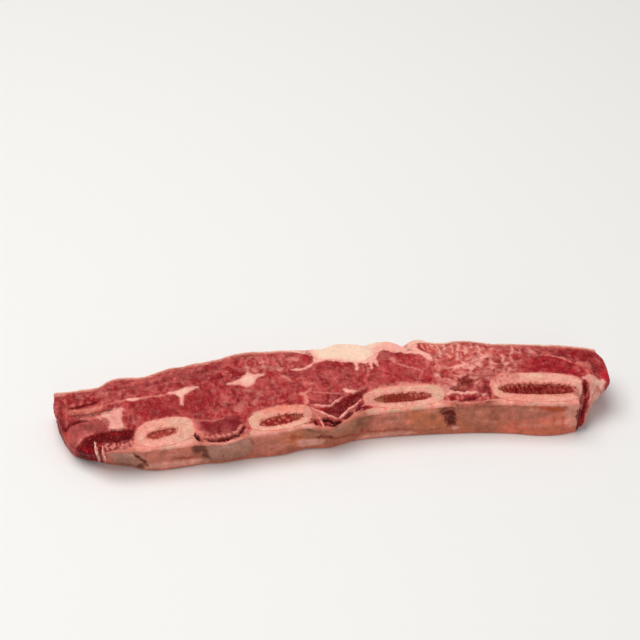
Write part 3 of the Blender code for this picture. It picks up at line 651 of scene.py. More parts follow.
# Lines and patches of fat, and the dark and pale lines between the muscles.
FAT_MARKS = (
    line(DEEP, 0.95, 1.6, 1.1, -136, 3.2, -131, 3.8, -126, 4.8, -121, 6.6),
    line(DEEP, 0.6, 2.6, 0.9, -141.4, 13, -140, 6, -139.6, -2, -138.8, -9, fray=1.8),
    line(FAINT_LINE, 0.6, 1, 0.4, -137.6, 11, -136.8, 4, -136.8, -4, -137, -9),
    fill(PALE_PINK, 0.7, 2, -144, 18, -143.6, 14, -140, 13.4, -136, 15, -138, 18),
    fill(TAN_PINK, 0.75, 1.6, -135, 2, -129, 1.8, -124, 2.8, -118.4, 4.4, -119, 1, -126, -0.4,
        -135, -0.4),
    line(FAT_LINE, 0.8, 1.4, 0.7, -128, 1, -123.6, 1.6, -120, 2.8, -118.4, 6.2),
    line(STAIN_AND_SHADE, 0.75, 1.2, 0.9, -135.4, -1.8, -128, -2.4, -120, -1.8, -113.6, 0.4),
    line(DEEP, 0.95, 0.9, 0.9, -138.5, -10.5, -134.5, -7, -130, -6, -126, -6.3, depth=0.5),
    line(FAT_LINE, 0.8, 1, 0.5, -133, -20.6, -130.4, -17.2, -127, -15, -122, -14.6),
    fill(FAT_LINE, 0.7, 1.6, -130, -4.2, -124, -4, -117, -2.6, -117, -5.6, -124, -5.8, -130, -5.4),
    fill(PINK_FAT, 0.82, 1.6, -120, -3.2, -113.5, -0.6, -108.6, 1.2, -108.6, -3, -109.6, -7,
        -108.6, -13.5, -112, -14.6, -116.2, -13.8, -115.4, -9.5, -117, -6.4, depth=-0.25),
    line(FAT_LINE, 0.45, 1.2, 0.4, -107, -2.5, -106, -7, -107, -12),
    line(FAINT_LINE, 0.5, 1.4, 0.6, -104.4, -1, -103.6, -7, -104.6, -14),
    line(FAT_LINE, 0.85, 1.3, 0.65, -116, 4.2, -107, 5.4, -98, 5.6, -90, 6.2, -83, 6.8,
        depth=-0.15),
    line(PINK_FAT, 0.95, 1.2, 0.9, -106.6, 5.2, -103.6, 5.2, -99.6, 5.8),
    fill(PINK_FAT, 0.95, 1.3, -86, 7.4, -81, 8.8, -76, 10.4, -69.5, 9.9, -73, 7.6, -76.6, 5.4,
        -78, 1.8, -78.6, -2.4, -79.8, 0.4, -80.2, 4, -82.4, 6.2, depth=-0.2),
    fill(CREAM, 0.45, 2, -80.5, 7.2, -78, 9, -75.6, 8.6, -77, 6.2),
    fill(PINK_FAT, 0.9, 1.3, -55.4, 10, -50, 11.4, -47.2, 13.6, -44.6, 16.6, -41.6, 15.2,
        -35.4, 14.6, -39.6, 12.2, -41.6, 8.8, -45.6, 6.2, -48.2, 8.2, -52, 8.8, depth=-0.2),
    fill(CREAM, 0.55, 2.6, -48, 10.6, -44.6, 14, -41.4, 13.4, -43.4, 8.8),
    line(PINK_FAT, 0.5, 1.6, 0.5, -44.4, 16, -44, 19),
    line(FAT_LINE, 0.6, 1.2, 0.5, -76, -12.4, -71, -14, -65, -15.2, -58, -13.8),
    fill(FAINT_LINE, 0.7, 2, -77, -12, -72, -13.6, -70.6, -18, -73.4, -21, -76.4, -17),
    fill(FAT_LINE, 0.6, 2.2, -54, -8, -51, -5.6, -48.6, -3, -47.4, -6, -49.4, -10.4, -53, -10),
    line(FAINT_LINE, 0.7, 1.2, 0.5, -47.8, -1.5, -47, -5, -45.6, -8.6),
    fill(FAT_LINE, 0.85, 1.8, -23.6, 23.6, -20.4, 25.2, -17.6, 22.4, -19.6, 20.8, -22.4, 21.8,
        fray=1.6),
    *(line(FAT_LINE, 0.65, 1.2, 0.5, x, top, x + 0.5, top - 2.6, x + lean, top - 6)
      for x, top, lean in ((-36.6, 27.4, 0.4), (-33.4, 26.6, -0.6), (-30.6, 27.2, 1.4),
        (-26.6, 27.6, 0.8), (-28.6, 21.4, 2), (-23.4, 21, -1), (-40.4, 25.4, 1))),
    line(FAT_LINE, 0.9, 1, 0.6, -28.2, 13, -25.6, 10.8, -22, 7.6, fray=1.2),
    line(MAROON, 0.5, 1.8, 0.9, -25, 13.6, -22.4, 11.4, -18.4, 12.8, fray=1.4),
    line(FAINT_LINE, 0.8, 1.2, 0.7, -20, 7.8, -17.6, 8.8, -15.6, 8.4),
    line(FAT_LINE, 0.7, 1.4, 0.8, -13, 4.2, -10.6, 4.6),
    line(FAT_LINE, 0.9, 1.1, 1, -20, -1.6, -17, -3.4, -16.2, -7, -17.6, -10.6),
    line(FAT_LINE, 0.85, 1, 0.85, -13.4, 1.4, -14.8, -1, -17.2, -3.4),
    line(FAT_LINE, 0.8, 1.1, 0.45, -15.4, -1.4, -9, -3, -3, -4.4, 3.4, -5.2),
    line(FAT_LINE, 0.7, 1, 0.4, 8.6, -4.6, 11.4, -3.6, 14.6, -2),
    fill(PINK_FAT, 0.92, 1.2, 2.4, -2, 6, -2.6, 9.4, -4.4, 7.4, -5.4, 4, -4.4),
    line(PINK_FAT, 0.85, 0.9, 0.55, -15, -11.4, -10.4, -12.4, -6, -13, -2, -10.8, 1.6, -7.8,
        depth=-0.4),
    line(PINK_FAT, 0.85, 0.9, 0.7, -14.6, -13.4, -10, -17, -6, -19.8, -2, -21.8, depth=-0.3),
    line(PINK_FAT, 0.95, 0.8, 0.6, 10.2, -11, 6.4, -14.6, 2.6, -17.8, 0.2, -20.4, -1.6, -21.8,
        depth=-0.4, fray=0.8),
    fill(TAN_PINK, 0.75, 1.6, -16, -13, -12.6, -15.2, -9.6, -18.6, -7.6, -20.8, -12, -21.2,
        -16, -18.6),
    fill(MAROON, 0.85, 1.2, 7, -16.4, 10.4, -13.2, 12.6, -12, 13.4, -16, 12, -18.6, 8.6, -18.2),
    line(FAT_LINE, 0.7, 0.8, 0.45, 12.4, -14.6, 10.4, -16.4, 9.8, -18.4),
    line(FAT_LINE, 0.8, 1.2, 0.6, 29.6, 16.4, 31.6, 13.6, 36, 9.8, 40.4, 7.6, 44.6, 4.6),
    line(FAT_LINE, 0.9, 1.6, 1.2, 29.4, 17, 31.6, 14.2),
    line(FAINT_LINE, 0.9, 1, 0.5, 45, 4.4, 42.8, 1.4, 41.4, -1.6),
    line(FAINT_LINE, 0.8, 1.2, 0.5, 45, 4.6, 47.2, 8, 48.6, 12, 47.4, 15),
    line(FAINT_LINE, 0.6, 1.2, 0.5, 4, 9.6, 5.8, 12.6, 8, 14),
    *(line(FAINT_LINE, 0.55, 1.4, 0.6, x, y, x + 7, y + 1.2, x + 15, y + 3.0, fray=1.5)
      for x, y in ((-129, 13.6), (-114, 12), (-110, 15.6), (-99, 12.4), (-96, 17), (-86, 14.6),
        (-82, 20.4), (-72, 17.4))),
    *(line(MAROON, 0.5, 1.6, 0.8, x, y, x + 6, y + 1.0, x + 13, y + 2.6, fray=1.5)
      for x, y in ((-120, 12.4), (-108, 13.6), (-97, 14.6), (-88, 18.6), (-80, 16), (-70, 20.6),
        (-66, 14))),
    fill(BONE_PINK, 0.8, 2.6, 17, -4.6, 21, -3, 27, -2, 38, -2, 46, -4, 52, -6, 50, -9, 15, -9,
        fray=1.8),
    *(dot(ROSE, 0.3, 1.4, x, y, 1.6, 0.9, fray=1.2)
      for x, y in ((24, -3.4), (29.6, -2.2), (35, -3), (40.4, -3), (45.6, -4.6))),
    line(PINK_FAT, 0.95, 0.9, 0.85, -21.8, 15, -17, 15.2, -13.4, 16.2, -10.4, 18.8, depth=-0.2),
    line(PINK_FAT, 0.9, 0.9, 0.8, 11.8, 16, 11.9, 13, 11.2, 10),
    line(PINK_FAT, 0.95, 0.9, 0.8, 18.9, 15.6, 19.2, 13, 19.3, 10.4),
    line(PINK_FAT, 0.85, 0.9, 0.6, 20.8, 17, 21.7, 14, 22.6, 11.4),
    line(FAINT_LINE, 0.7, 1, 0.6, 14.4, 14, 15, 11, 14.6, 8),
    line(PALE_PINK, 0.45, 1.2, 0.5, 16.4, 15, 17.2, 11, 16.8, 7),
    fill(PINK_FAT, 1, 1, -12.4, 31, -10.6, 26, -9.8, 22, -10.2, 19.2, -8, 18.8, -5, 19.6, -1, 19.2,
        2, 18, 6, 17.2, 8.8, 16.6, 10.4, 15.2, 11.6, 12.4, 13, 15, 16, 14.6, 18.4, 14.6, 19.6, 12.4,
        20.6, 15.4, 22.2, 14, 23, 18, 23.8, 20.8, 26, 22.8, 29, 22.6, 31.4, 20.2, 34, 20.8,
        37, 19.6, 41, 18.6, 45, 17.4, 47.6, 14.8, 49.6, 12.2, 51, 13, 49.6, 17, 46, 20.4, 44, 23,
        45.4, 30, 20, 34, 0, 34, depth=-0.15),
    fill(CREAM, 0.95, 4, -9, 31, -8, 24, -3, 20.8, 6, 19.2, 12, 17, 17.4, 17, 20.4, 20, 21, 25,
        25, 28, 30, 30, 26, 34, 0, 34),
    # Painted shade: a brown fold sunk into the cut near the fat wedge.
    fill(BROWN_LEAN, 0.55, 1.4, 37.6, 25, 38.4, 22.4, 41, 21.2, 42.6, 22, 40.4, 22.6, 39.4, 24.8,
        depth=0.5),
    line(FAT_LINE, 0.95, 0.9, 0.42, 104.6, 7.8, 110, 7.4, 114.6, 5.4, 119, 2.4, 123, -0.4,
        depth=-0.15),
    fill(FAT_LINE, 0.6, 1.6, 122, 0.6, 126, -0.2, 129.6, -1, 129, -4.4, 125.4, -3.6, fray=1.6),
    line(FAT_LINE, 0.35, 1.4, 0.6, 133, 5, 134.6, 1, 134.6, -3),
    line(FAT_LINE, 0.6, 1, 0.5, 126, -5.6, 127.6, -8, 128.4, -10),
    fill(PALE_PINK, 0.85, 1.2, 123.6, -10.8, 129, -9.8, 131, -13, 130, -16.5, 127.6, -20,
        124.5, -24, 121, -29, 118, -34, 121.8, -22.5, 124.6, -17),
    fill(FAT_LINE, 0.45, 1.4, 124, -12, 127, -11, 128, -15, 124.6, -17.4),
    fill(PALE_PINK, 0.8, 1.6, 132.6, -16.6, 130.5, -18.6, 127.5, -21, 121, -30, 124, -33, 131, -22,
        135, -17.4, fray=1.2),
    line(TAN_GREY, 0.45, 1, 0.5, 131.6, -18, 128.6, -21.4, 124.4, -27, 121.6, -32),
    fill(PALE_PINK, 0.9, 1.2, 130.4, -14.6, 133.4, -13.2, 135.2, -15, 132.4, -17.4),
    line(BROWN_LEAN, 0.4, 0.8, 0.4, 129.4, -12.6, 128.6, -16, 126.2, -19.4, 122.6, -24),
    line(RED_LINE, 0.5, 0.8, 0.3, 127, -14.2, 126.4, -16.6, 124.4, -19.6, 121.4, -25),
    # Painted light: a faint cream wash that lightens the sloping flap, standing in for light that
    # it catches.
    fill(CREAM, 0.25, 2.2, 130, -12.6, 135, -14, 133.4, -17.4, 129, -21, 127.4, -17, fray=1.2),
    fill(CHERRY, 0.97, 0.8, 121.2, -14.6, 124.2, -12.6, 126.4, -15.8, 126.4, -18.6, 125.4, -22.4,
        123, -27, 122, -34, 113.6, -34, 116.4, -27, 118.8, -21, 120.4, -18, fray=0.8),
    # Painted shade: a dark line down the middle of the cleft beside the flap.
    line(DEEP, 0.9, 1, 1.5, 124.2, -15, 124.2, -18.4, 122.4, -23, 119.2, -29),
    line(FAT_LINE, 0.6, 0.8, 0.3, 125.8, -15.4, 125.6, -18.2, 124.4, -20.6),
    fill(CHERRY, 0.8, 1, 116.6, -22.6, 120, -22.4, 120.6, -24, 117.4, -24.6),
    line(PINK_FAT, 0.9, 0.9, 0.5, -123.4, -20.4, -122.8, -25, -122.2, -30, -121.6, -34,
        depth=-0.35),
    line(FAT_LINE, 0.85, 0.9, 0.5, -119, -24, -118.8, -28, -119.2, -34, depth=-0.35),
    fill(MAROON, 0.8, 1.4, -118.4, -22.6, -112, -22.8, -103.8, -21.6, -103.6, -28, -108, -28.4,
        -113, -29.2, -118.2, -29, depth=0.4, fray=1.2),
    *(line(FAT_LINE, 0.9, 0.9, 0.45, x, top, x + lean, top - 2.2, x + 1.6 * lean, top - 4.4, fray=1)
      for x, top, lean in ((-117.6, -23.4, 0.4), (-115.6, -25, 0.9), (-113.6, -22.8, -0.5),
        (-111.6, -24.2, 0.8), (-109.4, -22.8, -0.4), (-107.6, -24.6, 0.6), (-105.2, -23, 0.5))),
    line(FAT_LINE, 0.8, 1, 0.4, -117.6, -26, -112, -25.4, -107, -26.4, fray=1.2),
    line(TAN_PINK, 0.8, 1.2, 0.7, -118.4, -29.6, -112, -29.8, -104, -29),
    dot(DEEP, 0.9, 0.8, -120.9, -27, 0.9, 2.6, depth=0.5),
    line(FAT_LINE, 0.85, 1.2, 0.8, 52.6, 3.6, 53.6, 7.4, 52, 11),
    line(PINK_FAT, 0.75, 1.4, 0.8, 58, 5.4, 64, 5.8, 69, 3.6, 73, 6.4, 77, 10, fray=0.9),
    line(PINK_FAT, 0.7, 1.6, 0.9, 60, 3.6, 66, 6.4, 72, 9, 79, 11.6, fray=0.9),
    *(line(PINK_FAT, 0.75, 1.1, 0.55, x, top, x + 0.8, top - 3.4, x - 0.4, top - 7, fray=0.8)
      for x, top in ((58, 24.2), (61.6, 22), (65, 24.4), (68.4, 21.4), (71.6, 23.6), (75.2, 20),
        (63.4, 17), (55, 20.4), (92, 17.6), (86.4, 12))),
    line(FAT_LINE, 0.8, 1.6, 0.8, 52, -1.4, 56, -4.6, 60, -3.4, 62, 1.6, 70, -0.6, 76, -2,
        fray=0.9),
    line(PINK_FAT, 0.85, 1, 0.9, 53.4, -12.8, 58, -12.2, 63, -13.2, 70, -13.6),
    fill(PALE_PINK, 0.22, 3, 70, -3, 76, 2, 86, 3, 92, 0, 88, -3, 78, -5, 72, -6, fray=1.4),
    fill(FAT_LINE, 0.22, 2.4, 77, -2.6, 84, -0.6, 92, -1.4, 93.4, -5, 88, -9, 80, -10, 76.6, -8,
        fray=1.2),
    line(PINK_FAT, 0.8, 1.2, 0.9, 77.6, -15, 77.6, -10, 79, -6.6),
    *(dot(CHERRY, 0.7, 1, x, y, half, 0.7, fray=1.4)
      for x, y, half in ((71.4, 1.6, 1.6), (74.4, -1.2, 1.2), (77.6, 1.8, 1.8), (80.4, 0.4, 1.4),
        (84, 1.8, 1.8), (86.8, -0.4, 1.2), (73.2, -4.4, 1.4), (76.6, -3.2, 1), (70.6, -9, 1.2),
        (72.4, -7.4, 0.8), (57.4, -1.2, 1.6), (54.4, 1.4, 1.4), (60.4, 1, 1.2), (88.6, 2.4, 1.8),
        (91, 0.8, 1.4), (82.4, -1.6, 1.2), (79.4, -2.8, 1.2), (94, 2, 1.6))),
    line(ORANGE_RED, 0.8, 2, 1.8, 46.4, 25, 48.4, 22.6, 51.4, 20.6, fray=1.2),
    *(line(PINK_FAT, 0.7, 1, 0.35, x, 25, x + 0.8, 20.6)
      for x in (47, 49.2, 51.8, 54.2)),
    fill(BONE_PINK, 0.9, 1, -104.6, -30, -104, -25, -102.6, -20, -98, -24, -92, -28, -84, -30),
    fill(BONE_TAN, 0.7, 1.4, -82, -29, -76, -24, -73.4, -20, -73.6, -24, -71.6, -28, -72.6, -31,
        -82, -31),
)

# The open clefts between the ribs, which cross both the lean and the lining's upper edge.
CLEFT_MARKS = (
    # Painted shade: the near-black lines down the cleft between ribs 1 and 2.
    line(BLACK_RED, 1, 0.6, 0.75, -75.6, -21, -73.8, -23.6, -72, -26.6, -70.4, -28.8, depth=1.8),
    line(BLACK_RED, 0.9, 0.8, 0.8, -69.4, -26.6, -66, -28.1, -61, -28.2, -56.4, -27.6, -52.6, -26.2,
        -50.4, -24, -48.4, -20.6, depth=2, fray=1.2),
    line(FAT_LINE, 0.85, 0.9, 0.8, -71.4, -21.4, -69.6, -24.6, -66, -25.9, -61, -26.4, -56.4, -25.6,
        -53, -23.6, -50.8, -20.6, depth=-0.35, fray=1.5),
    *(line(MAROON, 0.7, 0.8, 0.35, x, y, x + 0.3, y - 2.0)
      for x, y in ((-69, -23.4), (-66.6, -24.2), (-64, -24.8), (-61.2, -25.2), (-58.4, -25),
        (-55.6, -24.2))),
    fill(TAN_PINK, 0.85, 0.8, -71.6, -24.6, -70.4, -29.6, -68.4, -30.4, -67.6, -28, -69.6, -24.6),
    # Painted shade: the near-black and dark red lines down the cleft between ribs 2 and 3.
    line(BLACK_RED, 0.95, 0.7, 0.6, -21.4, -22.4, -18.6, -23.4, -16.6, -23.2, depth=1),
    line(BLACK_RED, 0.95, 0.7, 0.8, -15, -21, -13.8, -23, -12.6, -24.6, depth=1.2, fray=0.8),
    line(BLACK_RED, 1, 0.7, 1.1, -10, -21.4, -6.8, -22.8, -3.6, -24.4, -0.2, -23.8, depth=1.8,
        fray=1.1),
    line(BLACK_RED, 0.85, 0.8, 0.6, -9, -24.6, -6, -25.8, -3, -25.6, depth=1.2, fray=1),
    line(DEEP, 0.95, 0.8, 0.95, 0.6, -22.8, 2.8, -21, 5.4, -18.8, depth=1.2, fray=0.8),
    line(DEEP, 0.9, 0.8, 0.6, 7.4, -18.2, 9.6, -16.8, 11.8, -16.4, depth=0.8),
    line(PINK_FAT, 0.95, 0.6, 0.45, -11.6, -19.8, -10.8, -23.4, -9.8, -26.2, depth=-0.6),
)

# What shows only on the lining's upper edge.
LIP_MARKS = (
    line(BONE_YELLOW, 0.9, 0.9, 0.6, -31, -26.4, -24, -26.6, -17, -26.4),
    line(BONE_YELLOW, 0.9, 1, 0.7, 33, -19.8, 42, -19.4, 50, -20.2),
    line(PALE_PINK, 0.6, 0.8, 0.5, -70, -30, -60, -30.8, -50, -28.8),
    line(STAIN_AND_SHADE, 0.6, 0.9, 0.5, -47.6, -22, -47.4, -28),
    line(STAIN_AND_SHADE, 0.4, 2, 1.4, 10.6, -22, 13.6, -20.6),
    line(PALE_PINK, 0.6, 1.4, 0.8, 52, -17.6, 60, -18.8, 70, -19, 78, -19.6),
    line(MAROON, 0.7, 0.8, 0.4, 54, -20.6, 66, -21.2, 77, -21.4),
    # Painted shade: a brown line under the lip between ribs 3 and 4.
    line(STAIN_AND_SHADE, 0.55, 1.6, 0.7, 66, -22, 78, -22.2),
)

# What shows on the hard rings: bloom, stains and the soft tissue that lies over their corners.
RING_MARKS = (
    fill(LEAN, 0.85, 2, -106, -6, -101.4, -8, -100.6, -12, -102.4, -16, -106, -17, fray=1.4),
    fill(FAINT_LINE, 0.6, 2.2, -105, -16, -101.8, -16, -101, -21, -103, -25, -106, -24, fray=1.4),
    *(dot(PALE_PINK, 0.65, 2, x, y, 2.2, 1.2, fray=1.6)
      for x, y in ((19, -6.6), (27, -7.4), (34.6, -6.2), (42, -7.8), (48.4, -10.6), (16.4, -12),
        (25, -17.4), (38, -17), (-93, -12.4), (-86, -27), (-43, -21.4), (-24, -13), (84, -19.4),
        (98, -22.4))),
    *(dot(TAN_PINK, 0.45, 1.8, x, y, 1.8, 1, fray=1.6)
      for x, y in ((22.4, -8.2), (31, -7), (38.4, -7.4), (46, -8.4), (50.6, -8.4), (18, -15.6),
        (32, -17.8), (-98, -15), (-80, -22), (-37, -13.6), (-16.4, -19), (104, -9.4),
        (114, -12.4))),
    fill(BONE_TAN, 0.75, 2, -84, -12, -77, -12.4, -75, -18, -76, -25, -82, -28.6, -80.6, -20),
    line(BONE_EDGE, 0.5, 1.2, 0.3, -81.6, -11.6, -80.2, -18, -81, -26),
    fill(BONE_PINK, 0.5, 2, -103.6, -20, -97, -12, -88, -10, -84, -11.4, -92, -13, -98, -18),
    fill(BONE_TAN, 0.8, 2, -48, -20, -44, -13.6, -40, -12, -42, -18, -44, -24),
    fill(SALMON, 0.55, 2.4, -40, -12, -34, -10, -24, -10, -17, -12.6, -22, -14.6, -34, -14),
    line(BONE_EDGE, 0.95, 0.7, 0.4, -39, -11.4, -34, -10.2, -27, -9.9, -20, -11),
    fill(TAN_PINK, 0.6, 2.2, -17, -11, -13.6, -14, -13.4, -20, -17, -22, -19, -16),
    line(BONE_YELLOW, 0.8, 1.2, 0.7, -36, -24.8, -27, -24.4, -19, -23.4),
    fill(BONE_PINK, 0.8, 1.6, 12, -4, 20, -2, 46, -2.6, 50, -6.6, 44, -5.8, 20, -5.4),
    fill(BONE_TAN, 0.75, 2, 44, -5.4, 54, -6, 55, -14, 48, -18, 46, -12),
    fill(TAN_PINK, 0.5, 3, 12, -8, 19, -8, 19, -17, 13, -17, fray=1.2),
    fill(BONE_YELLOW, 0.6, 1.6, 36, -19.6, 50, -18.6, 52, -20, 40, -21),
    fill(FAT_LINE, 0.7, 2.2, 76, -3, 84, -1, 90, -1.6, 93, -5, 91, -9.4, 82, -10.4, 76, -9,
        fray=1.6),
    *(line(ROSE, 0.75, 1.8, 0.9, x, y, x + 0.4, y - 1.6, fray=1.8)
      for x, y in ((80, -5), (83, -3.4), (86.4, -4.4), (82, -7.4), (89.4, -2.8), (88.4, -6.4),
        (79.4, -7.4), (84.8, -7.8), (91.2, -5))),
    fill(BONE_PINK, 0.7, 3, 78, -17, 90, -19, 101, -22, 101, -26, 80, -24),
    fill(CREAM, 0.2, 2.4, 94, -4, 106, -6.4, 121, -12, 121.6, -15, 108, -10, 94, -7),
    fill(CHERRY, 0.9, 0.8, 122.4, -13.4, 125, -13, 125, -20, 120.4, -25, 119.6, -23.4,
        121.9, -18.6),
    line(BONE_EDGE, 0.5, 1.4, 0.4, 96, -20.8, 106, -22.6, 116, -23.6),
    fill(CHERRY, 0.7, 1.2, 116.6, -22, 121, -21.6, 121.6, -24, 117.4, -24.8),
)

# What shows on the spongy cores: pale struts, pink flecks, and the brown and olive ends.
CORE_MARKS = (
    *(dot(SPICULE, 0.9, 0.9, x, y, 0.9, 0.7, fray=0.8)
      for x, y in ((-96, -22.6), (-93.4, -20.4), (-88.6, -21.4), (-86.4, -18.4), (-91, -22.2),
        (-37, -18.4), (-34.4, -17.4), (-31.4, -18.6), (-29.4, -17.2), (-39.6, -21), (-33, -20.4),
        (-27, -19.4), (112.4, -18.4))),
    fill(TAN_OLIVE, 0.55, 2.4, -25.6, -16, -20, -15.4, -19, -18.4, -24, -19),
    fill(BONE_PINK, 0.85, 1.4, 117.2, -16, 121, -17, 121, -22, 117.8, -21),
    fill(TAN_OLIVE, 0.7, 2, 16, -10.4, 21, -10, 22, -15, 16.6, -14.6),
    fill(CORE_PINK, 0.45, 2, 34, -9.6, 47, -9.6, 47, -15, 36, -15.4),
    *(line(SPICULE, 0.85, 0.8, 0.4, x, -9.4, x + 0.3, -12.4)
      for x in (36, 38.2, 40, 42.2, 44, 46)),
    *(line(SPICULE, 0.8, 0.8, 0.35, x, -9.4 - 0.16 * (x - 80), x + 0.2, -11.8 - 0.16 * (x - 80))
      for x in (81.6, 83.4, 85.6, 87.6, 90, 92.4, 94.4, 97)),
    *(line(SPICULE, 0.6, 0.9, 0.35, x, -14.4, x - 0.4, -20)
      for x in (103.6, 106, 108.6, 111.4)),
    fill(CORE_RED, 0.5, 2, 104, -15, 116, -17, 117, -20, 105, -19),
)

# Where fine flecks and branches of fat are strewn, each patch's strength being how thickly.
MARBLED = (
    fill(PINK_FAT, 0.78, 7, 46, 17, 50, 25, 62, 24, 80, 19, 93, 17, 95, 6, 90, -5, 78, -9, 76, -19,
        66, -20, 54, -13, 50, -3, 47, 6),
    fill(PINK_FAT, 0.5, 4, -44, 28, -20, 28, -16, 20, -24, 15, -44, 18),
    fill(PINK_FAT, 0.3, 6, 22, 14, 46, 16, 50, 4, 44, -2, 26, 0),
    fill(PINK_FAT, 0.55, 5, 90, 16, 106, 15, 110, 8, 98, 4, 92, 0),
    fill(PINK_FAT, 0.45, 5, -134, 12, -112, 14, -108, 3, -124, -4, -136, -4),
    fill(PINK_FAT, 0.9, 3, -120, -22, -104, -20, -103, -30, -119, -31),
    fill(PINK_FAT, 0.45, 6, -60, 4, -44, 6, -30, 0, -40, -8, -56, -8),
    fill(PINK_FAT, 0.3, 4, 120, 0, 133, 2, 134, -8, 124, -10),
    fill(PINK_FAT, 0.55, 3, -74, -20, -50, -22, -50, -27, -74, -26),
    fill(PINK_FAT, 0.5, 4, -20, -18, 8, -14, 6, -24, -18, -26),
)

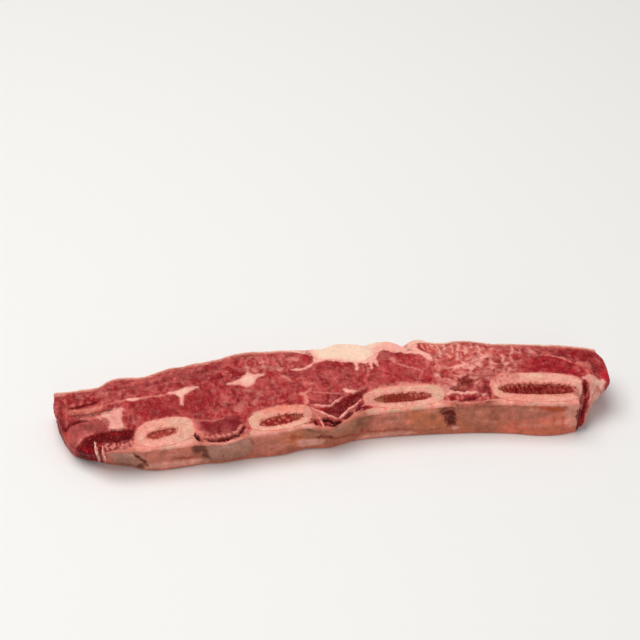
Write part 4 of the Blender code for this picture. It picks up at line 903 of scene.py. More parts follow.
# The front face, as millimetres along the strip and seen height above the table.
FRONT_MARKS = (
    fill(TAN_GREY, 0.85, 3, -119, 19, -104, 18, -100, 10, -101, 5, -110, 6, -119, 8),
    fill(TAN_PINK, 0.7, 5, -103, 20, -80, 21, -76, 12, -80, 4, -98, 3),
    fill(TAN_GREY, 0.85, 4, -68, 19, -48, 20, -44, 12, -50, 6, -60, 7, -68, 7),
    fill(TAN_PINK, 0.75, 5, -45, 22, -30, 22, -28, 12, -34, 4, -45, 6),
    fill(OCHRE, 0.7, 5, -30, 18, -20, 18, -17, 12, -24, 8, -30, 10),
    # Painted shade: olive brown where the skin sinks between ribs 2 and 3.
    fill(TAN_OLIVE, 0.75, 4, -18, 20, 12, 21, 14, 12, 2, 8, -8, 12, -18, 13),
    fill(TAN_PINK, 0.85, 6, 15, 21, 33, 21, 34, 9, 16, 9),
    fill(OCHRE, 0.75, 6, 33, 20, 50, 20, 52, 8, 34, 8),
    fill(TAN, 0.85, 6, 60, 20, 84, 22, 84, 8, 60, 6),
    fill(TAN_GREY, 0.3, 6, 88, 16, 98, 16, 98, 9, 88, 9),
    fill(TAN_PINK, 0.5, 5, 84, 21, 118, 22, 118, 10, 84, 9),
    fill(SALMON, 0.62, 6, 84, 8, 100, 12, 114, 14, 118, 8, 114, 0, 84, 0),
    fill(PALE_PINK, 0.6, 3, 112, 21, 119, 22, 119, 8, 113, 8),
    fill(PALE_PINK, 0.65, 2.5, -98, 8.5, -84, 8, -70, 8, -69, 5, -84, 4, -98, 4),
    *(line(PALE_PINK, 0.28, 2.6, 0.8, x, y, x + 6, y + 0.5, x + 12, y - 0.3, fray=1.6)
      for x, y in ((-112, 14.4), (-96, 16.4), (-92, 12.6), (-62, 15.4), (-44, 17.6), (-38, 9),
        (-6, 16.8), (18, 17.4), (22, 12.4), (38, 17.6), (62, 15.2), (66, 8.4), (86, 17.4),
        (90, 6.4), (104, 8.6))),
    *(line(TAN_OLIVE, 0.4, 2.4, 0.9, x, y, x + 6, y - 0.5, x + 11, y + 0.3, fray=1.6)
      for x, y in ((-100, 9.4), (-90, 18.4), (-60, 10.6), (-42, 13.6), (-14, 14.2), (20, 15),
        (36, 11.4), (40, 14.8), (64, 12), (70, 17.6), (88, 12.4), (100, 5.4))),
    line(RED_LINE, 0.8, 1.4, 0.6, -85, 10.4, -79, 9.8, -73.6, 10, depth=0.3),
    # Painted shade: a dark brown crease down the skin at the left end of rib 1, with a dark spot at
    # its foot.
    line(STAIN_AND_SHADE, 0.95, 1, 0.7, -105.4, 18, -102.6, 14, -99.6, 9.6, -98.8, 6, depth=1.1),
    dot(STAIN_AND_SHADE, 0.85, 1.8, -101.6, 6.6, 2, 1.6, depth=0.5),
    line(STAIN_AND_SHADE, 0.5, 1.4, 0.7, -118, 9.6, -112, 8.6, -106, 7.8, -102, 5.6),
    # Painted shade: a dark brown arc where the skin sinks between ribs 1 and 2.
    fill(STAIN_AND_SHADE, 0.9, 2.6, -75, 17.6, -69, 17.8, -67.8, 12, -67.6, 8, -70.4, 7.6, -71, 12.4,
        -74.6, 12.4, depth=0.7),
    line(STAIN_AND_SHADE, 0.6, 1.8, 0.6, -48.4, 23, -46.8, 17, -45, 12.6, depth=0.4),
    line(ORANGE, 0.7, 2.4, 1.3, -28, 14.6, -24, 12.8, -20.4, 11.6),
    dot(BONE_YELLOW, 0.6, 1.6, -24.2, 18.8, 2.6, 1),
    fill(STAIN_AND_SHADE, 0.6, 2.2, -18, 18, -9, 17, -8, 15.4, -16, 15.8, depth=0.4),
    fill(DEEP, 0.85, 1.4, -13.6, 12.4, -10.6, 14.4, -6, 13.4, -5, 12, -9.6, 12.2, depth=0.8),
    line(RED_LINE, 0.7, 1.4, 0.7, -6, 12.4, 0, 9.6, 6, 7.8, 10, 7.4, depth=0.4),
    fill(PALE_PINK, 0.8, 2, -22, 10, -14, 11.4, -9.6, 10.4, -13, 7, -22, 6, depth=-0.4),
    # Painted shade: a brown band down the skin beside the left end of rib 3.
    fill(STAIN_AND_SHADE, 0.5, 3.4, 8, 23, 14, 23, 15.6, 14, 12, 11, 8, 14, depth=0.4),
    dot(RED_LINE, 0.8, 1, 10.2, 9.6, 0.9, 1.6),
    dot(RED_LINE, 0.8, 1, 12.6, 8, 1, 0.9),
    line(RED_LINE, 0.7, 1.2, 0.5, 13, 8.2, 20, 6.8, 27, 7.4, 35, 5.6, depth=0.3),
    fill(PALE_PINK, 0.7, 2, 8, 5.6, 20, 5.4, 34, 4.6, 36, 2, 10, 2),
    dot(STAIN_AND_SHADE, 0.4, 2.6, 46.6, 13, 2.2, 2),
    line(STAIN_AND_SHADE, 0.6, 1, 0.5, 45, 4.8, 50.6, 4.8),
    dot(BROWN_LEAN, 0.9, 2.2, 53.6, 17.4, 3.9, 3.8, depth=0.8, fray=1.6),
    dot(ROSE, 0.45, 1.6, 54.2, 17.6, 1.4, 1.4, depth=-0.4, fray=1.2),
    line(STAIN_AND_SHADE, 0.7, 1.4, 0.5, 50, 19.4, 50.4, 16.4, 52, 13.8, depth=0.4),
    # Painted shade: the pocket between ribs 3 and 4 is sunk, and painted dark brown and near black
    # inside.
    fill(BROWN_POCKET, 0.88, 1.6, 52.6, 15.2, 57.4, 15.6, 57.8, 9, 56.8, 5.6, 53.4, 6.4, depth=1.6,
        fray=1.2),
    fill(BLACK_RED, 0.5, 1.6, 54, 11.6, 56.8, 12, 57, 8.4, 56.2, 6.6, 54.2, 7.2, fray=0.8),
    dot(PALE_PINK, 0.7, 1.4, 58, 4.4, 1.8, 1.2),
    line(OCHRE, 0.8, 0.9, 0.5, 60.4, 9.6, 60.6, 3),
    # Painted shade: reddish brown under the left end of rib 4, and a brown streak down the skin
    # below it.
    fill(STAIN_AND_SHADE, 0.5, 3, 62, 23.4, 78, 23.8, 78, 19.6, 70, 18.6, 62, 20.6, depth=0.3),
    line(STAIN_AND_SHADE, 0.55, 2.6, 1.1, 75.6, 17, 77, 13, 78.4, 9.4, depth=0.3),
    fill(ORANGE, 0.8, 2.4, 96, 20.6, 104, 20.8, 112, 20, 111, 16.8, 103, 17, depth=0.3),
    dot(ORANGE, 0.6, 2, 106.5, 18.4, 3, 1.4),
    line(RED_LINE, 0.45, 1.4, 0.4, 106.4, 14.4, 107, 10),
    line(RED_LINE, 0.5, 1.2, 0.4, 110.6, 12.6, 111.2, 6, 112.6, 3.4, depth=0.2),
    line(MAROON, 0.9, 1.2, 0.8, 118.4, 18, 118.2, 13, 119.4, 8),
)


@dataclass(frozen=True)
class Coat:
    """What a drawing gives to each place of a face: colour, share of fat and relief in metres."""

    tint: Array
    fat: Array
    relief: Array


@dataclass(frozen=True)
class Drawing:
    """Marks laid over one another, on a ground that is broken up by swells.

    The places are first shifted by noise, so that no drawn edge is smooth.
    """

    ground: Paint
    marks: tuple[Mark, ...]
    wander: float = 0.45
    mottle: float = 0.14

    def wandered(self, places: Array) -> Array:
        """The places, each moved by a swell of a few millimetres and one of under a millimetre."""
        way = np.stack([swell(places, 2.6, 5), swell(places, 2.6, 6)], axis=-1)
        fine = np.stack([swell(places, 0.9, 7), swell(places, 0.9, 8)], axis=-1)
        return places + self.wander * (way + 0.45 * fine)

    def lay(self, places: Array, coat: Coat, marks: tuple[Mark, ...]) -> Coat:
        """Lays marks over a coat, each mixed in by how much of it lies at a place.

        Args:
            places: Places on the face, in millimetres.
            coat: What is there already.
            marks: The marks, the lowest first.

        Returns:
            The new coat.
        """
        tint, fat, relief = coat.tint, coat.fat, coat.relief
        ragged = 0.65 * swell(places, 1.7, 9) + 0.45 * swell(places, 0.8, 10)
        patchy = swell(places, 3.4, 12)
        for mark in marks:
            cover = mark.cover(places, ragged, patchy)
            tint = mark.paint.over(tint, cover)
            fat = fat + (mark.paint.fat - fat) * cover
            relief = relief - mark.depth / MM * cover
        return Coat(tint, fat, relief)

    def start(self, places: Array) -> Coat:
        """The bare ground."""
        shape = places.shape[:-1]
        tint = np.broadcast_to(self.ground.colour, (*shape, 3)).copy()
        return Coat(tint, np.full(shape, self.ground.fat), np.zeros(shape))

    def on(self, places: Array) -> Coat:
        """The finished coat: ground, then marks, then a mottle of light and dark."""
        coat = self.lay(self.wandered(places), self.start(places), self.marks)
        light = 1.0 + self.mottle * rough(places, 5.0, 11)
        return Coat(coat.tint * light[..., None], coat.fat, coat.relief)

    def over(self, places: Array, tint: Array) -> Array:
        """These colours with the marks laid over them, and nothing else."""
        none = np.zeros(tint.shape[:-1])
        return self.lay(self.wandered(places), Coat(tint, none, none), self.marks).tint


@dataclass(frozen=True)
class CutFace(Drawing):
    """The sawn face: muscles, fat lines, marbling, and the pale rim round each bone."""

    rim: float = 0.8
    # How far in from the outer side the rind fades out, and how far its dusty shade does.
    rind_reach: Pair = (1.3, 2.1)
    dusty_reach: Pair = (1.4, 4.0)
    # Each blotch's paint, the size of its swells in millimetres, its seed and its strength.
    blotches: tuple[tuple[Paint, float, int, float], ...] = (
        (CHERRY, 7.0, 12, 0.55), (LIGHT_LEAN, 4.6, 13, 0.60), (CHERRY, 3.2, 14, 0.60),
        (LIGHT_LEAN, 2.2, 15, 0.60), (MAROON, 2.4, 16, 0.45),
    )

    def density(self, places: Array) -> Array:
        """How thickly fat is strewn at each place, from 0 to 1."""
        level = np.zeros(places.shape[:-1])
        for patch in MARBLED:
            level = np.maximum(level, patch.cover(places, level * 0.0, level * 0.0))
        return level

    def marbling(self, places: Array, density: Array) -> Array:
        """Flecks and branches of fat, from 0 to 1.

        Branches, twigs and hairs are ridges of three sizes, and a fleck is where a swell is high.
        They are kept where the density and a broader swell allow them.
        """
        bent = places + 1.1 * np.stack([swell(places, 3.4, 21), swell(places, 3.4, 22)], axis=-1)
        branches = smooth_step(0.15, 0.70, ridge(bent * (0.75, 1.0), 4.4, 23, 0.40))
        twigs = smooth_step(0.20, 0.85, ridge(bent * (1.0, 0.75), 2.6, 24, 0.40))
        hairs = ridge(bent * (1.0, 0.6), 1.4, 27, 0.34)
        flecks = smooth_step(0.22, 0.52, swell(bent, 1.9, 25))
        lively = np.clip(0.62 + 0.75 * swell(places, 3.0, 28), 0.12, 1.0)
        gate = smooth_step(-0.55, 0.55, swell(places, 5.5, 26) + 1.7 * density - 0.85)
        strewn = share_of(branches + 0.8 * twigs * lively + 0.3 * hairs + 0.6 * flecks)
        quiet = share_of(0.35 + 0.7 * swell(places, 5.0, 29))
        net = ridge(bent * (1.0, 0.55), 2.0, 30, 0.30)
        net = net * share_of(0.4 + swell(places, 3.2, 36))
        everywhere = quiet * 0.16 * twigs + 0.22 * net + 0.12 * flecks
        kept = strewn * lively * gate * np.minimum(1.0, density * 1.4)
        return np.clip(kept + everywhere, 0.0, 0.92)

    def blotched(self, places: Array, tint: Array) -> Array:
        """The muscles' reds, broken by soft blotches of light and dark, longer across the strip."""
        slant = places * (1.0, 0.72)
        for paint, size, seed, amount in self.blotches:
            cover = amount * smooth_step(0.04, 0.52, swell(slant, size, seed))
            tint = paint.over(tint, cover)
        return tint

    def fibres(self, places: Array) -> Array:
        """The short strokes of the cut fibres, longer across the strip than along it."""
        stretched = places * (1.0, 0.42)
        return 0.30 * swell(stretched, 1.0, 31) + 0.7 * swell(stretched, 1.9, 32)

    def on(self, places: Array) -> Coat:
        """The sawn face's coat.

        Args:
            places: Places in plan, in millimetres.

        Returns:
            Muscles, then marbling, then the lines of fat and the bones' rims, then the fibres.
        """
        moved = self.wandered(places)
        coat = self.lay(moved, self.start(places), MUSCLES)
        density = self.density(moved)
        fleck = self.marbling(places, density)
        pale = PINK_FAT.over(FAT_LINE.colour, share_of(0.35 + swell(places, 2.2, 33)))
        tint = self.blotched(places, coat.tint)
        tint = blend(tint, pale, 0.92 * fleck)
        coat = Coat(tint, np.maximum(coat.fat, 0.8 * fleck), coat.relief + 0.00012 * fleck)
        coat = self.lay(moved, coat, self.marks)
        tint, fat = coat.tint, coat.fat
        for rib in PLAN.ribs:
            away = rib.ring.outside(moved / MM) * MM
            rim = np.exp(-((np.maximum(away, 0.0) / self.rim) ** 2))
            rim = rim * np.clip(0.50 + 0.6 * swell(places, 3.6, 35), 0.1, 0.9)
            tint = BONE_PINK.over(tint, rim)
            fat = fat + (1.0 - fat) * rim
        inward = PLAN.outer_side(places[..., 0] / MM) * MM - places[..., 1]
        inward += 0.5 * swell(places, 3.0, 38)
        rind = 1.0 - smooth_step(*self.rind_reach, inward)
        rind = rind * np.clip(0.75 + 0.8 * swell(places * (1.0, 0.0), 11.0, 39), 0.15, 0.95)
        tint = PINK_FAT.over(tint, rind * (1.0 - fat))
        dusty = 0.35 * (1.0 - smooth_step(*self.dusty_reach, inward)) * (1.0 - fat)
        tint = FAINT_LINE.over(tint, dusty)
        light = 1.0 + self.mottle * rough(places, 6.0, 11) * (1.0 - 0.7 * fat)
        fibres = self.fibres(places)
        light += 0.16 * fibres * (1.0 - 0.75 * fat)
        relief = coat.relief + 0.00010 * fibres * (1.0 - 0.6 * fat)
        return Coat(tint * np.clip(light, 0.4, 1.6)[..., None], fat, relief)


CUT_FACE = CutFace(LEAN, POCKETS + FAT_MARKS + CLEFT_MARKS)
RING_FACE = Drawing(BONE, RING_MARKS)
CORE_FACE = Drawing(CORE_RED, CORE_MARKS)
LIP = Drawing(TAN_PINK, LIP_MARKS + CLEFT_MARKS, mottle=0.12)
FRONT_FACE = Drawing(TAN, FRONT_MARKS, wander=0.7, mottle=0.20)


# The range that most of a noise's values lie in.
USUAL = (0.3, 0.7)


class Board:
    """A material's nodes, with short ways to add them."""

    def __init__(self, name: str) -> None:
        """Makes the material, with its Principled shader."""
        self.material = bpy.data.materials.new(name)
        self.material.use_nodes = True
        self.tree = self.material.node_tree
        self.shader = self.tree.nodes["Principled BSDF"]
        self.places = self.node("ShaderNodeTexCoord").outputs["Object"]

    def feed(self, node: bpy.types.Node, inputs: dict) -> None:
        """Sets or links a node's inputs, by name or number."""
        for key, value in inputs.items():
            if isinstance(value, Socket):
                self.tree.links.new(value, node.inputs[key])
            else:
                node.inputs[key].default_value = value

    def node(self, kind: str, inputs: dict | None = None, **settings: object) -> bpy.types.Node:
        """Adds a node.

        Args:
            kind: The node's type.
            inputs: Values or sockets for its inputs, by name or number.
            **settings: Its own properties.

        Returns:
            The node.
        """
        made = self.tree.nodes.new(kind)
        for key, value in settings.items():
            setattr(made, key, value)
        self.feed(made, inputs or {})
        return made

    def noise(self, size: float, detail: float = 2.0, stretch: tuple = (1.0, 1.0, 1.0),
              away: float = 0.0) -> Socket:
        """Noise from 0 to 1.

        Args:
            size: Its grains' size, in metres.
            detail: How many finer layers it has.
            stretch: What each coordinate is multiplied by first.
            away: How far off it's sampled, so that two noises of one size differ.

        Returns:
            The socket.
        """
        inputs = {"Vector": self.places, "Location": (away, away, away), "Scale": stretch}
        moved = self.node("ShaderNodeMapping", inputs).outputs["Vector"]
        inputs = {"Vector": moved, "Scale": 1.0 / size, "Detail": detail, "Roughness": 0.6}
        return self.node("ShaderNodeTexNoise", inputs).outputs[0]

    def spread(self, value: Socket, low: float, high: float, to_low: float,
               to_high: float) -> Socket:
        """A value's range, mapped evenly to another and clamped to it."""
        inputs = {0: value, 1: low, 2: high, 3: to_low, 4: to_high}
        return self.node("ShaderNodeMapRange", inputs).outputs[0]

    def scaled(self, colour: object, factor: object) -> Socket:
        """A colour times a number."""
        inputs = {0: colour, "Scale": factor}
        return self.node("ShaderNodeVectorMath", inputs, operation="SCALE").outputs[0]

    def mixed(self, factor: object, first: object, second: object) -> Socket:
        """Two colours, mixed."""
        inputs = {0: factor, 6: first, 7: second}
        return self.node("ShaderNodeMix", inputs, data_type="RGBA").outputs[2]

    def times(self, first: object, second: object) -> Socket:
        """Two numbers, multiplied."""
        return self.node("ShaderNodeMath", {0: first, 1: second}, operation="MULTIPLY").outputs[0]


@dataclass(frozen=True)
class Speck:
    """Small flecks of another colour: their size in metres, and how strongly they show."""

    paint: Paint
    size: float
    share: float
    low: float = 0.52
    high: float = 0.66
    stretch: Triple = (1.0, 1.0, 1.0)


@dataclass(frozen=True)
class TintedFinish:
    """The drawn colours, with flecks and a coarse and a fine grain, over fine relief.

    Sizes are in metres. `glow` is how much light goes under the surface. Where `spares_fat` is
    set, the flecks keep off the parts that are drawn as fat.
    """

    name: str
    slot: str
    grain: float
    contrast: float
    fine: float
    fine_contrast: float
    roughness: Pair
    relief: float
    glow: float
    specks: tuple[Speck, ...]
    stretch: Triple = (1.0, 1.0, 1.0)
    spares_fat: bool = False
    shine: float = 0.28

    def make(self) -> bpy.types.Material:
        """Builds the material."""
        board = Board(self.name)
        tint = board.node("ShaderNodeAttribute", attribute_name="tint").outputs["Color"]
        fat = board.node("ShaderNodeAttribute", attribute_name="fat").outputs["Fac"]
        lean = board.spread(fat, 0.1, 0.8, 1.0, 0.15)
        coarse = board.noise(self.grain, 3.0, self.stretch)
        fine = board.noise(self.fine, 2.0)
        for number, speck in enumerate(self.specks, start=1):
            spots = board.noise(speck.size, 2.0, speck.stretch, 0.37 * number)
            share = board.spread(spots, speck.low, speck.high, 0.0, speck.share)
            if self.spares_fat:
                share = board.times(share, lean)
            tint = board.mixed(share, tint, (*speck.paint.colour, 1.0))
        light = board.spread(coarse, *USUAL, 1.0 - self.contrast, 1.0 + self.contrast)
        dust = board.spread(fine, *USUAL, 1.0 - self.fine_contrast, 1.0 + self.fine_contrast)
        colour = board.scaled(tint, board.times(light, dust))
        gloss = board.spread(board.noise(self.grain * 2.3, 3.0), 0.35, 0.65, *self.roughness)
        inputs = {"Height": fine, "Strength": 0.5, "Distance": self.relief * 0.5}
        bent = board.node("ShaderNodeBump", inputs).outputs[0]
        inputs = {"Height": coarse, "Strength": 0.8, "Distance": self.relief, "Normal": bent}
        board.feed(board.shader, {
            "Base Color": colour,
            "Roughness": gloss,
            "Normal": board.node("ShaderNodeBump", inputs).outputs[0],
            "IOR": 1.38,
            "Specular IOR Level": self.shine,
            "Subsurface Weight": self.glow,
            "Subsurface Radius": (0.0016, 0.0008, 0.0006),
            "Subsurface Scale": 1.0,
        })
        return board.material


class Finish(Enum):
    """The strip's finishes."""

    LEAN = TintedFinish(
        "cut_lean", "lean", 0.0016, 0.15, 0.0005, 0.10, (0.34, 0.52), 0.00014, 0.04,
        (Speck(FAT_LINE, 0.0008, 0.20, 0.56, 0.68, (1.0, 0.7, 0.7)),
         Speck(DEEP, 0.0015, 0.28, 0.53, 0.68, (1.0, 0.7, 0.7))),
        spares_fat=True, shine=0.08,
    )
    FAT = TintedFinish(
        "firm_fat", "fat", 0.0022, 0.05, 0.0005, 0.04, (0.42, 0.60), 0.00012, 0.15,
        (Speck(FAINT_LINE, 0.0012, 0.20, 0.54, 0.70), Speck(CREAM, 0.0018, 0.35)),
    )
    LINING = TintedFinish(
        "chest_lining_skin", "lining", 0.0026, 0.15, 0.0006, 0.08, (0.26, 0.44), 0.00014, 0.08,
        (Speck(STAIN_AND_SHADE, 0.0034, 0.16, 0.50, 0.70, (0.5, 1.0, 1.0)),
         Speck(PALE_PINK, 0.0018, 0.16, 0.54, 0.70, (0.6, 1.0, 1.0))),
        stretch=(1.0, 1.0, 0.45), shine=0.18,
    )
    BONE = TintedFinish(
        "sawn_bone", "bone", 0.0010, 0.11, 0.00035, 0.10, (0.42, 0.60), 0.00010, 0.12,
        (Speck(SPICULE, 0.0010, 0.30, 0.54, 0.70), Speck(CREAM, 0.0007, 0.30),
         Speck(SALMON, 0.0034, 0.22, 0.52, 0.66)),
    )
    MARROW = TintedFinish(
        "spongy_marrow", "marrow", 0.0009, 0.16, 0.0003, 0.12, (0.32, 0.52), 0.00018, 0.06,
        (Speck(SPICULE, 0.0011, 0.30, 0.52, 0.66, (1.4, 0.35, 1.0)),
         Speck(BLACK_RED, 0.0012, 0.45, 0.52, 0.68, (1.3, 0.4, 1.0))),
        shine=0.12,
    )


FINISH_CACHE: dict[Finish, bpy.types.Material] = {}


def finish_of(finish: Finish) -> bpy.types.Material:
    """The finish's material, made the first time."""
    if finish not in FINISH_CACHE:
        FINISH_CACHE[finish] = finish.value.make()
    return FINISH_CACHE[finish]


def placed(name: str, data: bpy.types.ID) -> Piece:
    """A new object in the scene that shows this data."""
    made = bpy.data.objects.new(name, data)
    bpy.context.scene.collection.objects.link(made)
    return made


@dataclass
class Loops:
    """A closed surface as loops of points, one after another.

    A tube is closed at each end by a fan to the middle of its last loop. A ring's last loop
    joins its first.
    """

    points: Array
    tint: Array
    fat: Array
    ring: bool = False

    def faces(self) -> tuple[Array, Array]:
        """The quads between neighbouring loops, and the triangles of the two fans."""
        loops, size = self.points.shape[:2]
        here = np.arange(loops * size).reshape(loops, size)
        following = np.roll(here, -1, axis=0) if self.ring else here[1:]
        first = here if self.ring else here[:-1]
        quads = np.stack(
            [first, np.roll(first, -1, 1), np.roll(following, -1, 1), following], axis=-1
        ).reshape(-1, 4)
        if self.ring:
            return quads, np.zeros((0, 3), dtype=int)
        fans = []
        for rim, pole in ((here[0], loops * size), (here[-1][::-1], loops * size + 1)):
            fans.append(np.stack([np.roll(rim, -1), rim, np.full(size, pole)], axis=-1))
        return quads, np.concatenate(fans)

    def build(self, name: str, finish: Finish) -> Piece:
        """Makes the mesh, its faces outward, with the drawn colours as its attributes.

        Args:
            name: The piece's name.
            finish: Its finish.

        Returns:
            The object, at the frame's origin.
        """
        points = self.points.reshape(-1, 3) + PLAN_TO_FRAME
        tint, fat = self.tint.reshape(-1, 3), self.fat.reshape(-1)
        quads, fans = self.faces()
        if not self.ring:
            ends = np.stack([self.points[0].mean(0), self.points[-1].mean(0)]) + PLAN_TO_FRAME
            points = np.concatenate([points, ends])
            tint = np.concatenate([tint, [self.tint[0].mean(0), self.tint[-1].mean(0)]])
            fat = np.concatenate([fat, [self.fat[0].mean(), self.fat[-1].mean()]])
        halves = points[quads]
        area = np.cross(halves[:, 2] - halves[:, 0], halves[:, 3] - halves[:, 1])
        if np.sum(area * halves.mean(axis=1)) < 0.0:
            quads, fans = quads[:, ::-1], fans[:, ::-1]
        mesh = bpy.data.meshes.new(name)
        mesh.vertices.add(len(points))
        mesh.vertices.foreach_set("co", points.astype(np.float32).ravel())
        corners = np.concatenate([quads.ravel(), fans.ravel()])
        starts = np.concatenate([np.arange(len(quads)) * 4, quads.size + np.arange(len(fans)) * 3])
        mesh.loops.add(len(corners))
        mesh.loops.foreach_set("vertex_index", corners.astype(np.int32))
        mesh.polygons.add(len(starts))
        mesh.polygons.foreach_set("loop_start", starts.astype(np.int32))
        mesh.update(calc_edges=True)
        mesh.shade_smooth()
        colour = mesh.attributes.new("tint", "FLOAT_COLOR", "POINT")
        rgba = np.concatenate([share_of(tint), np.ones((len(tint), 1))], axis=1)
        colour.data.foreach_set("color", rgba.astype(np.float32).ravel())
        share = mesh.attributes.new("fat", "FLOAT", "POINT")
        share.data.foreach_set("value", fat.astype(np.float32))
        mesh.materials.append(finish_of(finish))
        piece = placed(name, mesh)
        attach(piece, BODY)
        return piece


@dataclass(frozen=True)
class Wrap:
    """How a block's surface is cut into loops: columns along it, and rows round it."""

    columns: int
    top: int
    back: int
    bottom: int
    front: int
    cap: int
    crowding: float
    end_crowding: float = 0.12
    cap_sizes: Pair = (0.06, 0.97)

    @staticmethod
    def crowd(t: Array, amount: float) -> Array:
        """Shares crowded towards both ends: t, blended with a half cosine by an amount."""
        return t + (0.5 - 0.5 * np.cos(math.pi * t) - t) * amount

    def spread(self, count: int) -> Array:
        """This many shares, from 0 to just under 1."""
        return self.crowd(np.arange(count) / count, self.crowding)

    def shares(self) -> tuple[Array, Array, Array]:
        """The share of the way along, across and up, for every point of every loop.

        Round the block the rows go over the top, down the far side, back under it and up the
        near side. At each end the loops shrink towards the middle of that end.
        """
        one, none = np.ones, np.zeros
        across = np.concatenate([
            self.spread(self.top), one(self.back), 1.0 - self.spread(self.bottom), none(self.front),
        ])
        up = np.concatenate([
            one(self.top), 1.0 - self.spread(self.back), none(self.bottom), self.spread(self.front),
        ])
        along = self.crowd(np.linspace(0.0, 1.0, self.columns), self.end_crowding)
        shrink = np.linspace(*self.cap_sizes, self.cap)
        size = np.concatenate([shrink, one(self.columns), shrink[::-1]])[:, None]
        along = np.concatenate([none(self.cap), along, one(self.cap)])[:, None]
        return (
            np.broadcast_to(along, (len(along), len(across))),
            0.5 + (across - 0.5) * size,
            0.5 + (up - 0.5) * size,
        )


def rim_drop(distance: Array, radius: float) -> Array:
    """How far a quarter-round rim lies below the cut, this far in from its edge."""
    inward = radius - np.clip(distance, 0.0, radius)
    return radius - np.sqrt(radius * radius - inward * inward)


def rims_drop(radii: tuple[float, ...], *distances: Array) -> Array:
    """The deepest of several rims: one radius, and one distance from its edge, for each."""
    return np.maximum.reduce([rim_drop(away, radius) for away, radius in zip(distances, radii)])


def plug_rows(rows: Rows, hubs: Pair, easing: float, lip: float) -> tuple[Array, Array]:
    """The rows of a plug: out over its top, down its wall, and in again under it.

    Args:
        rows: How many rows each part has.
        hubs: The size of the first row and of the last, as shares of the outline.
        easing: The power that the top's sizes are raised to.
        lip: How far the wall's first and last rows are from its edges, as a share of its height.

    Returns:
        The size of each row's loop, and its share of the way up.
    """
    top, wall, bottom = rows
    out = np.linspace(hubs[0], 1.0, top) ** easing
    size = np.concatenate([out, np.ones(wall), np.linspace(1.0, hubs[1], bottom)])
    return size, np.concatenate([np.ones(top), np.linspace(1.0 - lip, lip, wall), np.zeros(bottom)])


@dataclass
class LeanSlab:
    """The slab of lean: muscles, the clefts between the ribs and the flap at the right end."""

    wrap: Wrap = Wrap(columns=560, top=100, back=8, bottom=40, front=20, cap=12, crowding=0.25)
    rims: Triple = (0.0016, 0.0008, 0.0020)
    tuck: float = 0.0016
    # How long the slab's bone side takes to step behind the lining's left end, and its right.
    lap: Pair = (0.005, 0.0016)
    overlap: float = 0.0004
    socket_margin: float = 0.0007
    socket_depth: float = 0.0030
    seam_depth: float = 0.0012
    # Between these ways in from a seam's outline, the lean sinks under the seam.
    seam_rim: Pair = (0.0005, 0.0012)
    cleft_floor: float = 0.0176
    # Where the cut is lower than this, the cleft's floor follows it down.
    follows_below: float = 0.0200
    cleft_blur: Pair = (-0.0003, 0.0004)
    cleft_edge: Waves = ((0.0004, 2.0, 43, 1),)
    floor_waves: Waves = ((0.0008, 2.0, 44, 1),)
    wall_waves: Waves = ((0.0005, 5.0, 45, 3), (0.00018, 1.4, 46, 1))
    saw_waves: Waves = ((0.00035, 1.6, 47, 1),)

    def near(self, x: Array) -> Array:
        """The lean's bone side, which runs behind the lining where there is one."""
        low, high = PLAN.lining_span
        lined = smooth_step(low, low + self.lap[0], x)
        lined = lined * (1.0 - smooth_step(high - self.lap[1], high, x))
        return PLAN.bone_side(x) + (PLAN.lining_thick(x) - self.tuck) * share_of(lined)

    def opened(self, plan: Array, top: Array) -> Array:
        """The cut's height, lowered to an uneven floor in the cleft beside the flap."""
        cleft = smooth_path(np.array(PLAN.cleft), True)
        outside = distance_outside(plan, cleft) + uneven(plan, self.cleft_edge)
        gap = 1.0 - smooth_step(*self.cleft_blur, outside)
        floor = self.cleft_floor + uneven(plan, self.floor_waves)
        floor = floor - 0.5 * np.maximum(0.0, self.follows_below - top)
        return top + (np.minimum(top, floor) - top) * gap

    def build(self) -> list[Piece]:
        """The slab, its cut faces carved and painted by the drawing of the cut face."""
        along, across, up = self.wrap.shares()
        low, high = PLAN.left_end(across), PLAN.right_end(across, up)
        x = low + (high - low) * along
        near = self.near(x)
        far = PLAN.outer_side(x) - PLAN.fat_thick(x) + self.overlap
        y = near + (far - near) * across
        plan = np.stack([x, y], axis=-1)
        coat = CUT_FACE.on(plan * MM)
        drop = rims_drop(self.rims, y - near, far - y, np.minimum(x - low, high - x))
        deep = PLAN.socket(plan, self.socket_margin) * self.socket_depth
        for seam in FatSeams.outlines():
            inside = smooth_step(*self.seam_rim, -distance_outside(plan, seam))
            deep = deep + self.seam_depth * inside
        top = PLAN.cut_height(plan) + PLAN.bumps(plan) + coat.relief - drop - deep
        foot = drop + np.maximum(0.0, deep * 0.3 - 0.5 * coat.relief)
        points = PLAN.stand(plan, foot, self.opened(plan, top), up)
        mid_wall = 1.0 - share_of(np.abs(2.0 * up - 1.0) ** 6)
        ripple = uneven(points, self.wall_waves)
        at_end = np.isin(along, (0.0, 1.0)) * np.sign(along - 0.5)
        sawn = uneven(plan * (1.0, 1.6), self.saw_waves)
        points[..., 0] += at_end * (ripple + sawn) * mid_wall
        points[..., 1] -= (across == 0.0) * ripple * mid_wall
        tint = coat.tint * self.wall_light(points, up, coat.fat)[..., None]
        piece = Loops(points, tint, coat.fat).build("lean_slab", Finish.LEAN)
        return [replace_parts(piece, "lean_meat")]

    def wall_light(self, points: Array, up: Array, fat: Array) -> Array:
        """Light and dark streaks that run down the slab's walls, and none on its upper cut."""
        drawn_down = points * MM * (1.0, 1.0, 0.22)
        streaks = 0.30 * rough(drawn_down, 3.2, 48) + 0.16 * swell(drawn_down, 1.2, 49) - 0.06
        return 1.0 + streaks * (1.0 - smooth_step(0.93, 0.99, up)) * (1.0 - 0.6 * fat)


